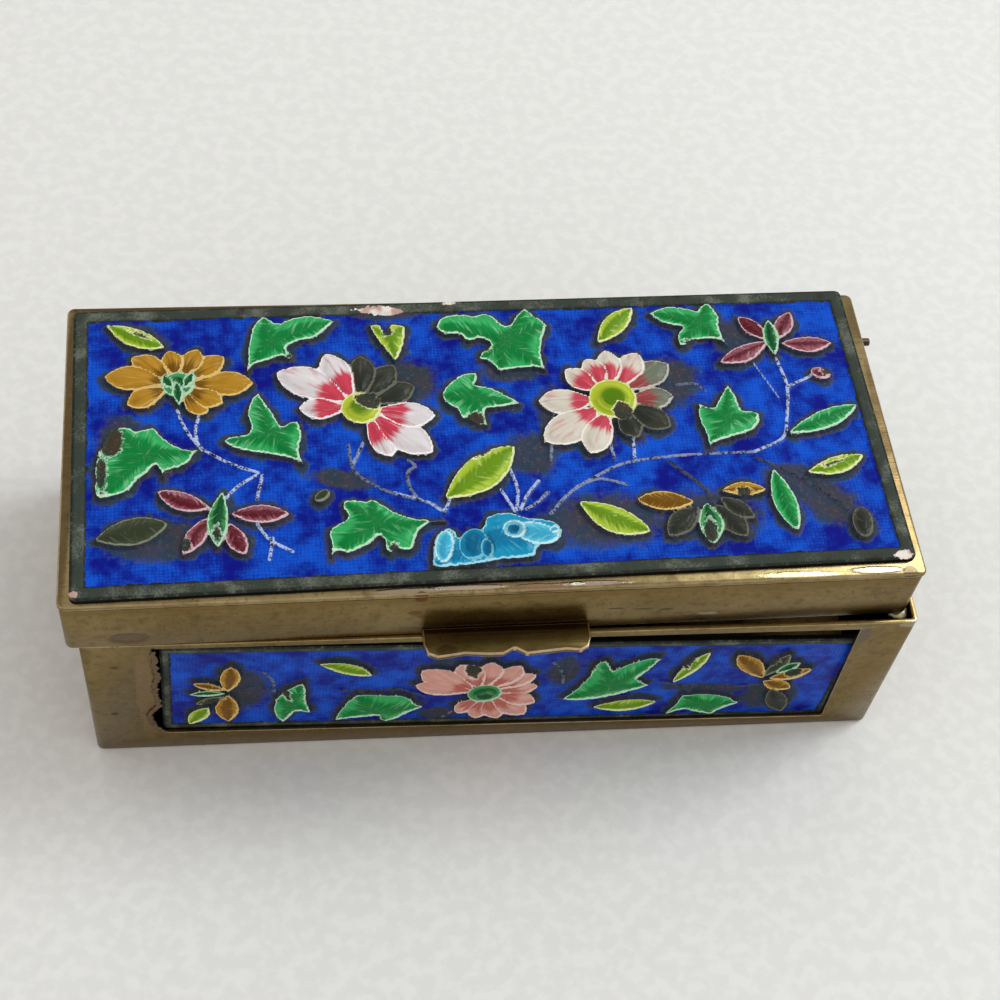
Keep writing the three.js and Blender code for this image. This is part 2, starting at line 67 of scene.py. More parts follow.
# ---------- shader tools ----------
class Value:
    """A socket of a node tree that takes part in Python arithmetic."""

    def __init__(self, shade: "Shade", socket: bpy.types.NodeSocket) -> None:
        """Keeps the node tree's builder and the socket."""
        self.shade = shade
        self.socket = socket

    def _maths(self, operation: str, first: "Value | float", second: "Value | float") -> "Value":
        """A Math node on two values."""
        return self.shade.node("ShaderNodeMath", {0: first, 1: second}, operation=operation)

    def __add__(self, other: "Value | float") -> "Value":
        """Sum."""
        return self._maths("ADD", self, other)

    __radd__ = __add__

    def __sub__(self, other: "Value | float") -> "Value":
        """Difference."""
        return self._maths("SUBTRACT", self, other)

    def __rsub__(self, other: float) -> "Value":
        """Difference from a number."""
        return self._maths("SUBTRACT", other, self)

    def __mul__(self, other: "Value | float") -> "Value":
        """Product."""
        return self._maths("MULTIPLY", self, other)

    __rmul__ = __mul__

    def __abs__(self) -> "Value":
        """Size without sign."""
        return self._maths("ABSOLUTE", self, 0.0)

    def larger(self, other: "Value | float") -> "Value":
        """The larger of two values."""
        return self._maths("MAXIMUM", self, other)

    def wave(self) -> "Value":
        """Cosine of the value, from 0 to 1."""
        return self._maths("COSINE", self, 0.0) * 0.5 + 0.5

    def step(self, low: float, high: float) -> "Value":
        """Smooth step from 0 at low to 1 at high."""
        inputs = {"Value": self, "From Min": low, "From Max": high}
        return self.shade.node("ShaderNodeMapRange", inputs, interpolation_type="SMOOTHSTEP")


class Shade:
    """Builds the node tree of one material."""

    def __init__(self, name: str) -> None:
        """Starts a material with a Principled shader."""
        self.material = bpy.data.materials.new(name)
        self.material.use_nodes = True
        self.tree = self.material.node_tree
        self.tree.nodes.clear()
        self.surface = self.tree.nodes.new("ShaderNodeBsdfPrincipled")
        output = self.tree.nodes.new("ShaderNodeOutputMaterial")
        self.tree.links.new(self.surface.outputs[0], output.inputs[0])

    def feed(self, socket: bpy.types.NodeSocket, value: "Value | float | tuple") -> None:
        """Links a value to a socket, or sets the socket."""
        if isinstance(value, Value):
            self.tree.links.new(value.socket, socket)
        elif socket.type == "RGBA":
            socket.default_value = (*value[:3], 1.0)
        else:
            socket.default_value = value

    def node(self, kind: str, inputs: dict, output: int = 0, **settings: object) -> Value:
        """Adds a node.

        Args:
            kind: The node's type.
            inputs: A value, link or tuple for each named or numbered input.
            output: The number of the output to use.
            **settings: The node's own settings, which are set first.

        Returns:
            The chosen output.
        """
        made = self.tree.nodes.new(kind)
        for key, value in settings.items():
            setattr(made, key, value)
        for key, value in inputs.items():
            self.feed(made.inputs[key], value)
        return Value(self, made.outputs[output])

    def mix(self, first: "Value | Colour", second: "Value | Colour", factor: "Value | float") -> Value:
        """Mixes two colours by a factor."""
        return self.node("ShaderNodeMix", {0: factor, 6: first, 7: second}, 2, data_type="RGBA")

    def vector(self, operation: str, first: "Value | tuple", second: "Value | tuple") -> Value:
        """A Vector Math node on two vectors."""
        return self.node("ShaderNodeVectorMath", {0: first, 1: second}, operation=operation)

    def length(self, vector: Value) -> Value:
        """Length of a vector."""
        return self.node("ShaderNodeVectorMath", {0: vector}, 1, operation="LENGTH")

    def attribute(self, name: str, output: str = "Fac") -> Value:
        """An attribute of the mesh as Color, Vector or Fac."""
        place = ("Color", "Vector", "Fac").index(output)
        return self.node("ShaderNodeAttribute", {}, place, attribute_name=name)

    def place(self) -> Value:
        """Place in the object's frame, in millimetres."""
        return self.vector("MULTIPLY", self.node("ShaderNodeTexCoord", {}, 3), (1 / MM, 1 / MM, 1 / MM))

    def parts(self, vector: Value) -> tuple[Value, Value, Value]:
        """The three numbers of a vector."""
        split = self.tree.nodes.new("ShaderNodeSeparateXYZ")
        self.tree.links.new(vector.socket, split.inputs[0])
        return tuple(Value(self, split.outputs[k]) for k in range(3))

    def noise(self, vector: Value, scale: float, detail: float = 3.0, stretch: Place = (1, 1, 1)) -> Value:
        """Noise from 0 to 1.

        Args:
            vector: Where to read it, in millimetres.
            scale: Features per millimetre.
            detail: How many finer layers it has.
            stretch: Scale of each axis.

        Returns:
            The noise.
        """
        at = self.vector("MULTIPLY", vector, stretch)
        return self.node("ShaderNodeTexNoise", {"Vector": at, "Scale": scale, "Detail": detail})

    def bump(self, height: Value, strength: float = 1.0) -> Value:
        """Normal of a height given in millimetres."""
        return self.node("ShaderNodeBump", {"Height": height, "Distance": MM, "Strength": strength})

    def finish(
        self, colour: Value, rough: "Value | float", metallic: "Value | float", normal: Value
    ) -> None:
        """Feeds the Principled shader."""
        self.feed(self.surface.inputs["Base Color"], colour)
        self.feed(self.surface.inputs["Roughness"], rough)
        self.feed(self.surface.inputs["Metallic"], metallic)
        self.feed(self.surface.inputs["Normal"], normal)


# ---------- the brass ----------
@dataclass(frozen=True)
class Mark:
    """A stain, smear, seam, pit, painted shade or painted highlight on the metal, within an oval reach of its
    centre.
    """

    centre: Place
    reach: Place
    colour: Colour
    strength: float = 0.8
    rise: float = 0.0
    ragged: float = 0.5


@dataclass(frozen=True)
class AgedBrass:
    """Brass that has dulled, been handled and gone brown in places."""

    name: str
    rubbed: Colour = srgb(138, 119, 76)
    dull: Colour = srgb(113, 93, 54)
    brown: Colour = srgb(76, 56, 27)
    speck: Colour = srgb(52, 40, 22)
    roughness: float = 0.3
    wear: float = 0.5
    marks: tuple[Mark, ...] = ()

    def make(self) -> bpy.types.Material:
        """Builds the material."""
        shade = Shade(self.name)
        at = shade.place()
        cloud, blotch = shade.noise(at, 0.09, 5.0), shade.noise(at, 0.35, 6.0)
        fleck, grain = shade.noise(at, 1.1, 4.0), shade.noise(at, 4.5, 2.0)
        brushed = shade.noise(at, 1.0, 3.0, (0.22, 5.0, 5.0))
        worn = cloud * 0.7 + blotch * 0.4 + brushed * 0.35 + (self.wear - 0.5)
        colour = shade.mix(self.dull, self.rubbed, worn.step(0.5, 0.95))
        colour = shade.mix(colour, self.brown, blotch.step(0.52, 0.78) * 0.6)
        colour = shade.mix(colour, self.brown, (fleck * 0.6 + grain * 0.4).step(0.5, 0.66) * 0.45)
        colour = shade.mix(colour, self.speck, shade.noise(at, 2.4, 2.0).step(0.7, 0.76) * 0.75)
        rough = cloud * 0.2 + fleck * 0.14 + brushed * 0.06 + (self.roughness - 0.2)
        height = brushed * 0.008 + grain * 0.006 + blotch * 0.03 + shade.noise(at, 0.12, 2.0) * 0.22
        for mark in self.marks:
            away = shade.vector("DIVIDE", shade.vector("SUBTRACT", at, mark.centre), mark.reach)
            inside = (shade.length(away) + (fleck + grain * 0.6 - 0.8) * mark.ragged).step(1.12, 0.78)
            colour = shade.mix(colour, mark.colour, inside * mark.strength)
            if mark.rise:
                height = height + inside * (fleck * 0.5 + 0.75) * mark.rise
        shade.finish(colour, rough, 1.0, shade.bump(height))
        return shade.material


# Dark brown for pits, scratches and seams, and for painted shade under the lid's top plate.
PIT_SEAM_AND_SHADE_BROWN = srgb(50, 36, 16)
SOLDER = srgb(176, 168, 146)
BURR = srgb(132, 112, 88)
PATINA = srgb(84, 66, 44)

WORN_EDGE = AgedBrass("brass_edge", srgb(190, 170, 128), srgb(146, 124, 82), srgb(92, 72, 40), roughness=0.3)
BODY_BRASS = AgedBrass("brass_body", marks=(
    # Painted shade: darker brown towards the bottom of the front face.
    Mark((0, -22, 0.2), (70, 3, 3.4), srgb(112, 88, 48), 0.5),
    Mark((-48.0, -22, 9.7), (0.42, 0.6, 0.38), PIT_SEAM_AND_SHADE_BROWN, 0.9, -0.08, 0.3),
    Mark((-47.2, -22, 21.2), (0.5, 0.6, 0.24), PIT_SEAM_AND_SHADE_BROWN, 0.7, -0.05, 0.3),
    Mark((-44.3, -22, 9.6), (0.4, 0.6, 0.4), PIT_SEAM_AND_SHADE_BROWN, 0.75, 0.0, 0.3),
    Mark((-45.6, -22, 14.0), (1.4, 0.6, 1.0), srgb(118, 94, 54), 0.5),
    Mark((-43.8, -22, 14.0), (1.3, 0.8, 10.5), srgb(150, 122, 82), 0.6, 0.06),
    Mark((47.6, -22, 13.0), (1.6, 0.6, 5.0), srgb(122, 98, 58), 0.5),
    Mark((50.4, -22, 25.7), (1.9, 1.4, 0.6), SOLDER, 0.5),
    Mark((44.6, -22, 23.4), (0.9, 0.8, 2.2), srgb(92, 84, 80), 0.6),
))
LID_BRASS = AgedBrass("brass_lid", marks=(
    # Dark seam under the top plate, with painted shade from the plate's overhang.
    Mark((0, 0, 34.75), (90, 60, 0.34), PIT_SEAM_AND_SHADE_BROWN, 0.85, 0.0, 0.25),
    Mark((0, 0, 33.9), (90, 60, 0.55), srgb(118, 92, 50), 0.5),
    Mark((-45.0, -21.4, 28.0), (2.7, 1.5, 1.3), srgb(86, 62, 34), 0.75, -0.05),
    Mark((-44.9, -21.4, 28.3), (2.1, 1.5, 0.95), srgb(112, 92, 66), 0.7, -0.05),
    Mark((-48.2, -21.4, 28.7), (1.0, 1.0, 0.5), srgb(106, 80, 46), 0.5),
    Mark((-11.8, -21.4, 31.2), (0.9, 1.0, 0.5), srgb(92, 66, 28), 0.7, 0.0, 0.35),
    Mark((-11.2, -21.4, 34.2), (0.8, 1.0, 0.6), srgb(84, 46, 18), 0.7, 0.0, 0.35),
    Mark((12.4, -21.2, 30.3), (1.1, 1.0, 0.16), PIT_SEAM_AND_SHADE_BROWN, 0.7),
    Mark((15.8, -21.2, 30.0), (1.3, 1.0, 0.14), PIT_SEAM_AND_SHADE_BROWN, 0.6),
    Mark((18.6, -21.2, 29.7), (0.9, 1.0, 0.2), PIT_SEAM_AND_SHADE_BROWN, 0.7),
    Mark((24.0, -21.2, 28.3), (1.4, 1.0, 0.3), srgb(186, 178, 160), 0.5),
    # Painted shade on the wall just above the thumb tab, where the tab meets it.
    Mark((-1.0, -21.5, 27.6), (12.4, 1.2, 0.9), srgb(70, 54, 26), 0.7),
    Mark((0, 0, 26.3), (90, 60, 0.3), srgb(176, 152, 118), 0.6),
))
PLATE_BRASS = AgedBrass("brass_plate", srgb(164, 146, 104), srgb(130, 112, 72), roughness=0.3, marks=(
    Mark((-41.0, 22.2, 35.5), (17.0, 1.3, 1.0), PATINA, 0.85),
    Mark((8.0, 22.6, 35.5), (30.0, 0.9, 1.0), PATINA, 0.6),
    Mark((-52.2, 0.0, 35.5), (0.9, 24.0, 1.2), PATINA, 0.7),
    Mark((50.2, 19.0, 35.5), (2.4, 4.2, 1.0), srgb(112, 96, 66), 0.6),
    Mark((48.8, -4.0, 35.5), (0.9, 16.0, 1.0), srgb(92, 70, 44), 0.6),
    Mark((-12.6, -21.2, 35.5), (4.0, 0.42, 0.8), srgb(164, 150, 132), 0.75, 0.05),
    Mark((-6.0, -20.9, 35.5), (5.0, 0.34, 0.8), srgb(196, 180, 164), 0.7, 0.06),
    Mark((2.6, -21.1, 35.5), (3.6, 0.5, 0.8), srgb(140, 110, 90), 0.75, 0.04),
    Mark((9.0, -20.8, 35.5), (4.6, 0.36, 0.8), srgb(170, 152, 140), 0.7, 0.06),
    Mark((13.2, -21.1, 35.5), (2.4, 0.3, 0.8), srgb(120, 104, 82), 0.6),
    Mark((7.0, -20.8, 35.5), (0.9, 0.26, 0.8), srgb(224, 226, 196), 0.9, 0.08, 0.35),
    Mark((-11.2, -21.9, 35.3), (0.9, 0.7, 0.8), srgb(80, 44, 18), 0.75, 0.0, 0.4),
    Mark((34.0, -20.4, 35.5), (5.0, 0.5, 0.8), srgb(206, 196, 158), 0.6, 0.03),
    Mark((43.5, -20.0, 35.5), (3.4, 0.5, 0.8), srgb(164, 150, 136), 0.7, 0.05),
    Mark((47.6, -20.4, 35.5), (1.0, 0.9, 0.8), srgb(74, 62, 52), 0.8),
    # Painted shade: a dark line along the plate's lower edge at the seam, and one under its rolled front lip.
    Mark((0, -22.0, 34.75), (90, 60, 0.16), PIT_SEAM_AND_SHADE_BROWN, 0.9, 0.0, 0.25),
    Mark((0, -22.6, 35.2), (90, 0.6, 0.12), PIT_SEAM_AND_SHADE_BROWN, 0.7, 0.0, 0.25),
))
# The tab's brass is darker than the rest, as painted shade on its top face.
TAB_BRASS_AND_SHADE = AgedBrass("brass_tab", srgb(120, 106, 64), srgb(98, 84, 46), srgb(64, 50, 24), roughness=0.34,
                      marks=(
    # Painted shade at the tab's root against the wall, then a painted highlight on the ridge in front of it.
    Mark((-1.0, -21.9, 27.5), (12.0, 0.75, 1.0), srgb(58, 44, 34), 0.9),
    Mark((-1.0, -22.35, 27.5), (9.0, 0.18, 0.6), srgb(120, 98, 80), 0.6, 0.0, 0.8),
    Mark((-8.0, -24.6, 27.5), (1.4, 0.7, 0.6), srgb(60, 48, 26), 0.6),
))
# Painted highlight along the tab's broken edge, over rubbed metal, brighter than the worn edges elsewhere.
TAB_EDGE_WEAR_AND_HIGHLIGHT = AgedBrass("brass_tab_edge_wear_and_highlight", srgb(226, 200, 176), srgb(186, 160, 128), srgb(120, 96, 66))
HINGE_BRASS = AgedBrass("brass_hinge", srgb(132, 114, 74), srgb(104, 86, 50), srgb(66, 50, 26),
                        roughness=0.36)
PIN_WIRE = AgedBrass("dark_wire", srgb(96, 84, 66), srgb(66, 54, 40), srgb(40, 30, 20), roughness=0.42)
TORN_BRASS = AgedBrass("torn_brass", BURR, srgb(118, 98, 76), srgb(72, 54, 36), roughness=0.5, wear=0.3)
SOLDER_FILL = AgedBrass("solder_fill", srgb(196, 190, 158), srgb(150, 140, 108), srgb(96, 84, 56),
                        roughness=0.4)


# ---------- the enamel ----------
@dataclass(frozen=True)
class Palette:
    """Colours of one kind of form: at its heart, over its body and on its raised rim."""

    heart: Colour
    body: Colour
    rim: Colour


class Tint(Enum):
    """Enamels used on the panels."""

    EMERALD = Palette(srgb(0, 124, 54), srgb(52, 172, 96), srgb(204, 236, 208))
    LIME = Palette(srgb(104, 146, 14), srgb(168, 196, 52), srgb(236, 240, 186))
    OLIVE = Palette(srgb(50, 58, 38), srgb(64, 70, 52), srgb(134, 140, 112))
    AMBER = Palette(srgb(116, 78, 8), srgb(178, 130, 34), srgb(230, 200, 128))
    IVORY = Palette(srgb(198, 62, 82), srgb(218, 212, 214), srgb(250, 248, 246))
    CREAM = Palette(srgb(196, 66, 84), srgb(212, 204, 190), srgb(246, 242, 230))
    ASHEN = Palette(srgb(150, 66, 66), srgb(110, 116, 100), srgb(196, 198, 186))
    ROSE = Palette(srgb(186, 104, 92), srgb(216, 160, 146), srgb(242, 214, 204))
    MAROON = Palette(srgb(96, 24, 36), srgb(146, 82, 94), srgb(222, 190, 198))
    CALYX = Palette(srgb(0, 78, 34), srgb(64, 146, 84), srgb(190, 226, 196))
    TURQUOISE = Palette(srgb(0, 118, 162), srgb(22, 148, 190), srgb(170, 226, 240))
    PALE = Palette(srgb(56, 168, 204), srgb(96, 196, 222), srgb(206, 240, 248))
    TEAL = Palette(srgb(0, 96, 138), srgb(0, 124, 164), srgb(120, 200, 222))
    GONE = Palette(srgb(44, 48, 40), srgb(58, 60, 50), srgb(110, 110, 98))
    POLLEN = Palette(srgb(84, 124, 4), srgb(180, 196, 52), srgb(238, 238, 176))


@dataclass(frozen=True)
class Noises:
    """A place on the panel and noises there, from broad to crisp."""

    at: Value
    cloud: Value
    patch: Value
    fine: Value
    crisp: Value

    @staticmethod
    def over(shade: Shade, at: Value) -> "Noises":
        """The noises read at a place."""
        broad = shade.noise(at, 0.15, 4.0), shade.noise(at, 0.5, 4.0)
        return Noises(at, *broad, shade.noise(at, 1.5, 3.0), shade.noise(at, 4.0, 2.0))


@dataclass(frozen=True)
class EnamelCoat:
    """The glaze and bare metal of an embossed panel, read from the panel's own attributes."""

    name: str
    border_width: float
    deep: Colour = srgb(0, 10, 128)
    light: Colour = srgb(8, 84, 208)
    bare: Colour = srgb(66, 64, 58)
    bare_green: Colour = srgb(50, 62, 54)
    bare_pale: Colour = srgb(104, 98, 90)
    bead: Colour = srgb(58, 66, 58)
    bead_pale: Colour = srgb(122, 128, 114)
    bead_brown: Colour = srgb(52, 44, 36)
    bead_line: Colour = srgb(30, 32, 28)
    vine_dark: Colour = srgb(34, 34, 40)
    vine_pale: Colour = srgb(176, 194, 232)
    waste_brown: Colour = srgb(70, 58, 44)
    waste_pale: Colour = srgb(124, 120, 104)
    scar_pink: Colour = srgb(196, 160, 148)
    scar_cream: Colour = srgb(236, 228, 218)
    edge_shade_black: Colour = srgb(14, 13, 12)
    weave_pitch: float = 0.46
    weave_depth: float = 0.012
    gloss: float = 0.1

    def glaze(self, shade: Shade, noises: Noises) -> tuple[Value, Value]:
        """Blue glaze over an engraved weave.

        Args:
            shade: The material's builder.
            noises: Noises over the panel.

        Returns:
            The colour of the glaze and the height of the weave.
        """
        warp = shade.node("ShaderNodeTexNoise", {"Vector": noises.at, "Scale": 0.9, "Detail": 3.0}, 1)
        moved = shade.vector("MULTIPLY", warp, (0.7, 0.7, 0.0))
        x, y, _ = shade.parts(shade.vector("ADD", noises.at, moved))
        turn = 2 * math.pi / self.weave_pitch
        shown = (noises.patch * 0.8 + noises.cloud * 0.7).step(0.55, 0.95)
        threads = (x * turn).wave() * (y * turn).wave() * shown
        tone = (noises.cloud - 0.5) * 1.9 + (noises.patch - 0.5) * 1.0 + (noises.fine - 0.5) * 0.4
        tone = tone + threads * 0.5 + 0.36
        return shade.mix(self.deep, self.light, tone.step(0.0, 0.95)), threads

    def bared(self, noises: Noises, edge: Value, soot: Value) -> Value:
        """Where the ground is bare metal: in an uneven band round the forms and where soot gathered.

        Args:
            noises: Noises over the panel.
            edge: Distance inside the nearest outline, negative outside.
            soot: How much soot gathered there.

        Returns:
            The share of bare metal.
        """
        near = edge + noises.patch * 2.3 + noises.cloud * 1.1 + noises.fine * 0.6 - 1.12
        gathered = soot + noises.patch * 0.9 + noises.fine * 0.4 - 0.6
        return near.step(-0.1, 0.5).larger(gathered.step(0.0, 0.45))

    def field(self, shade: Shade, noises: Noises, glaze: Value, halo: Value) -> Value:
        """Colour of the ground: glaze, bare metal and the broken pale enamel of the stems.

        Args:
            shade: The material's builder.
            noises: Noises over the panel.
            glaze: Colour of the glaze.
            halo: The share of bare metal.

        Returns:
            The colour.
        """
        fine, crisp = noises.fine, noises.crisp
        metal = shade.mix(self.bare, self.bare_green, noises.patch.step(0.42, 0.6))
        metal = shade.mix(metal, self.bare_pale, (fine * 0.6 + crisp * 0.4).step(0.52, 0.68) * 0.55)
        ground = shade.mix(glaze, metal, halo * (crisp * 0.3 + 0.75))
        broken = (fine * 0.5 + crisp * 0.5).step(0.4, 0.53)
        vine = shade.mix(self.vine_dark, self.vine_pale, shade.attribute("stem_tone") * broken)
        return shade.mix(ground, vine, (shade.attribute("stem") + (crisp - 0.5) * 0.16).step(-0.04, 0.05))

    def forms(self, shade: Shade, noises: Noises, edge: Value, streak: Value) -> tuple[Value, Value]:
        """Enamel of the raised forms: heart to body with strokes, then the pale rim and the losses.

        Args:
            shade: The material's builder.
            noises: Noises over the panel.
            edge: Distance inside the nearest outline.
            streak: Noise drawn out along the strokes.

        Returns:
            The colour, and where the enamel is lost.
        """
        fine, crisp = noises.fine, noises.crisp
        heart, body, rim = (shade.attribute(key, "Color") for key in ("heart", "body", "rim"))
        turned = (shade.attribute("along") + (streak - 0.5) * 0.7).step(0.3, 0.7)
        form = shade.mix(heart, body, turned)
        form = shade.mix(form, rim, streak.step(0.54, 0.74) * 0.28)
        form = shade.mix(form, heart, streak.step(0.46, 0.28) * 0.4)
        # The pale rim of each form, with a painted highlight where its lip is wider.
        width = shade.attribute("lip") * (fine * 1.7 + 0.1)
        form = shade.mix(form, rim, (width - edge).step(-0.03, 0.04) * crisp.step(0.22, 0.4) * 0.92)
        torn = shade.attribute("loss") + (fine - 0.5) * 1.1 + (crisp - 0.5) * 0.6
        gone = torn.step(0.0, 0.1)
        waste = shade.mix(self.bare_green, self.waste_brown, noises.patch.step(0.4, 0.62))
        waste = shade.mix(waste, self.waste_pale, crisp.step(0.58, 0.7) * 0.45)
        form = shade.mix(form, waste, gone)
        fringe = (0.16 - abs(torn)).step(0.0, 0.1) * 0.75 * fine.step(0.36, 0.5)
        return shade.mix(form, rim, fringe), gone

    def edging(self, shade: Shade, noises: Noises, border: Value) -> Value:
        """Colour of the border: a worn bead with a dark line on each side.

        Args:
            shade: The material's builder.
            noises: Noises over the panel.
            border: Distance outwards from the border's inner line.

        Returns:
            The colour.
        """
        worn = shade.noise(noises.at, 0.8, 5.0, (0.4, 0.4, 1.0))
        band = shade.mix(self.bead, self.bead_pale, (worn * 0.75 + noises.crisp * 0.35).step(0.5, 0.78) * 0.75)
        band = shade.mix(band, self.bead_brown, noises.patch.step(0.54, 0.7) * 0.7)
        inner, outer = (border - 0.1).step(0.22, 0.0), (border - self.border_width).step(-0.42, -0.2)
        return shade.mix(band, self.bead_line, inner.larger(outer) * 0.8 * noises.fine.step(0.3, 0.5))

    def make(self) -> bpy.types.Material:
        """Builds the material."""
        shade = Shade(self.name)
        noises = Noises.over(shade, shade.attribute("place", "Vector"))
        patch, fine, crisp = noises.patch, noises.fine, noises.crisp
        edge, border, soot, scar = (shade.attribute(key) for key in ("edge", "border", "soot", "scar"))
        streak = shade.noise(shade.attribute("grain", "Vector"), 1.0, 2.0)

        glaze, threads = self.glaze(shade, noises)
        halo = self.bared(noises, edge, soot)
        form, gone = self.forms(shade, noises, edge, streak)
        inside = edge.step(-0.02, 0.01)
        colour = shade.mix(self.field(shade, noises, glaze, halo), form, inside)

        # The border lies over the ground, with scars of old pale enamel; the panel's edge is painted very dark
        # as shade.
        on_border = (border + (patch - 0.5) * 0.9 + (fine - 0.5) * 0.4).step(-0.08, 0.08) * (1.0 - inside)
        colour = shade.mix(colour, self.edging(shade, noises, border), on_border)
        scarred = (scar + (fine - 0.5) * 1.2 + (crisp - 0.5) * 0.5).step(0.0, 0.14)
        colour = shade.mix(colour, shade.mix(self.scar_pink, self.scar_cream, patch.step(0.4, 0.6)), scarred)
        # Painted shade: the turned-down edge and the underside go very dark.
        colour = shade.mix(colour, self.edge_shade_black, (border - self.border_width).step(0.05, 0.6))

        dry = (halo * (1.0 - inside)).larger(gone * inside).larger(on_border)
        rough = dry * 0.32 + 0.26 + fine * 0.1
        height = threads * (1.0 - dry) * self.weave_depth + streak * inside * 0.05 + noises.cloud * 0.2
        height = height + dry * (crisp * 0.06 + fine * 0.06) - gone * inside * 0.08 + scarred * 0.05
        shade.surface.inputs["Specular IOR Level"].default_value = self.gloss
        shade.finish(colour, rough, dry * 0.2, shade.bump(height))
        return shade.material


# ---------- plane geometry of the forms ----------
def polar(centre: Point, degrees: float, radius: float) -> Point:
    """The point at a direction and distance from another."""
    angle = math.radians(degrees)
    return centre[0] + radius * math.cos(angle), centre[1] + radius * math.sin(angle)


def nearest_on(points: np.ndarray, starts: np.ndarray, ends: np.ndarray) -> tuple[np.ndarray, ...]:
    """Nearest place on any of several straight lines.

    Args:
        points: Points, one a row.
        starts: First end of each line.
        ends: Second end of each line.

    Returns:
        The distance, the nearest place and the number of the line, for each point.
    """
    line = ends - starts
    size = np.maximum((line**2).sum(1), 1e-12)
    share = np.clip(((points[:, None] - starts) * line).sum(2) / size, 0, 1)
    place = starts + share[..., None] * line
    away = np.linalg.norm(points[:, None] - place, axis=2)
    chosen = away.argmin(1)
    rows = np.arange(len(points))
    return away[rows, chosen], place[rows, chosen], chosen


def encloses(points: np.ndarray, outline: np.ndarray) -> np.ndarray:
    """Whether each point is inside a closed outline."""
    ends = np.roll(outline, -1, 0)
    inside = np.zeros(len(points), bool)
    for (x0, y0), (x1, y1) in zip(outline, ends):
        if y0 == y1:
            continue
        crosses = (points[:, 1] < y0) != (points[:, 1] < y1)
        inside ^= crosses & (points[:, 0] < (x1 - x0) * (points[:, 1] - y0) / (y1 - y0) + x0)
    return inside


def smooth_run(places: np.ndarray, steps: int = 4) -> np.ndarray:
    """Points on a smooth curve through some places; the last place is left out."""
    ends = np.vstack([2 * places[0] - places[1], places, 2 * places[-1] - places[-2]])
    a, b, c, d = ends[:-3], ends[1:-2], ends[2:-1], ends[3:]
    t = np.linspace(0, 1, steps, endpoint=False)[:, None, None]
    curve = 2 * b + (c - a) * t + (2 * a - 5 * b + 4 * c - d) * t**2 + (3 * b - a - 3 * c + d) * t**3
    return (curve / 2).transpose(1, 0, 2).reshape(-1, 2)


def nibbled(outline: np.ndarray, seed: int, depth: float) -> np.ndarray:
    """The outline, turned counter-clockwise, with small uneven chips along it.

    Args:
        outline: A closed outline.
        seed: Number that makes the chips differ.
        depth: How deep they are.

    Returns:
        The uneven outline.
    """
    ahead = np.roll(outline, -1, 0)
    if (outline[:, 0] * ahead[:, 1] - ahead[:, 0] * outline[:, 1]).sum() < 0:
        outline = outline[::-1]
        ahead = np.roll(outline, -1, 0)
    fine = np.concatenate([outline[:, None], (outline + ahead)[:, None] / 2], axis=1).reshape(-1, 2)
    tangent = np.roll(fine, -1, 0) - np.roll(fine, 1, 0)
    inward = np.stack([-tangent[:, 1], tangent[:, 0]], 1)
    inward /= np.maximum(np.linalg.norm(inward, axis=1, keepdims=True), 1e-9)
    rough = np.random.default_rng(seed).random(len(fine)) ** 2
    return fine + inward * (rough * depth)[:, None]


def smooth(value: np.ndarray, low: float, high: float) -> np.ndarray:
    """Smooth step from 0 at low to 1 at high."""
    share = np.clip((value - low) / (high - low), 0, 1)
    return share * share * (3 - 2 * share)


# ---------- the ornament's raised forms, in their panel's own plane ----------
RIM_HEIGHT = 0.45
CROWN_HEIGHT = 0.88
STEM_HEIGHT = 0.22
CROWN_REACH = 1.1


class Lie(Enum):
    """How the strokes of the enamel run on a form."""

    FEATHERED = "slanting out from the ribs"
    RADIAL = "along the petal, out from the flower's centre"


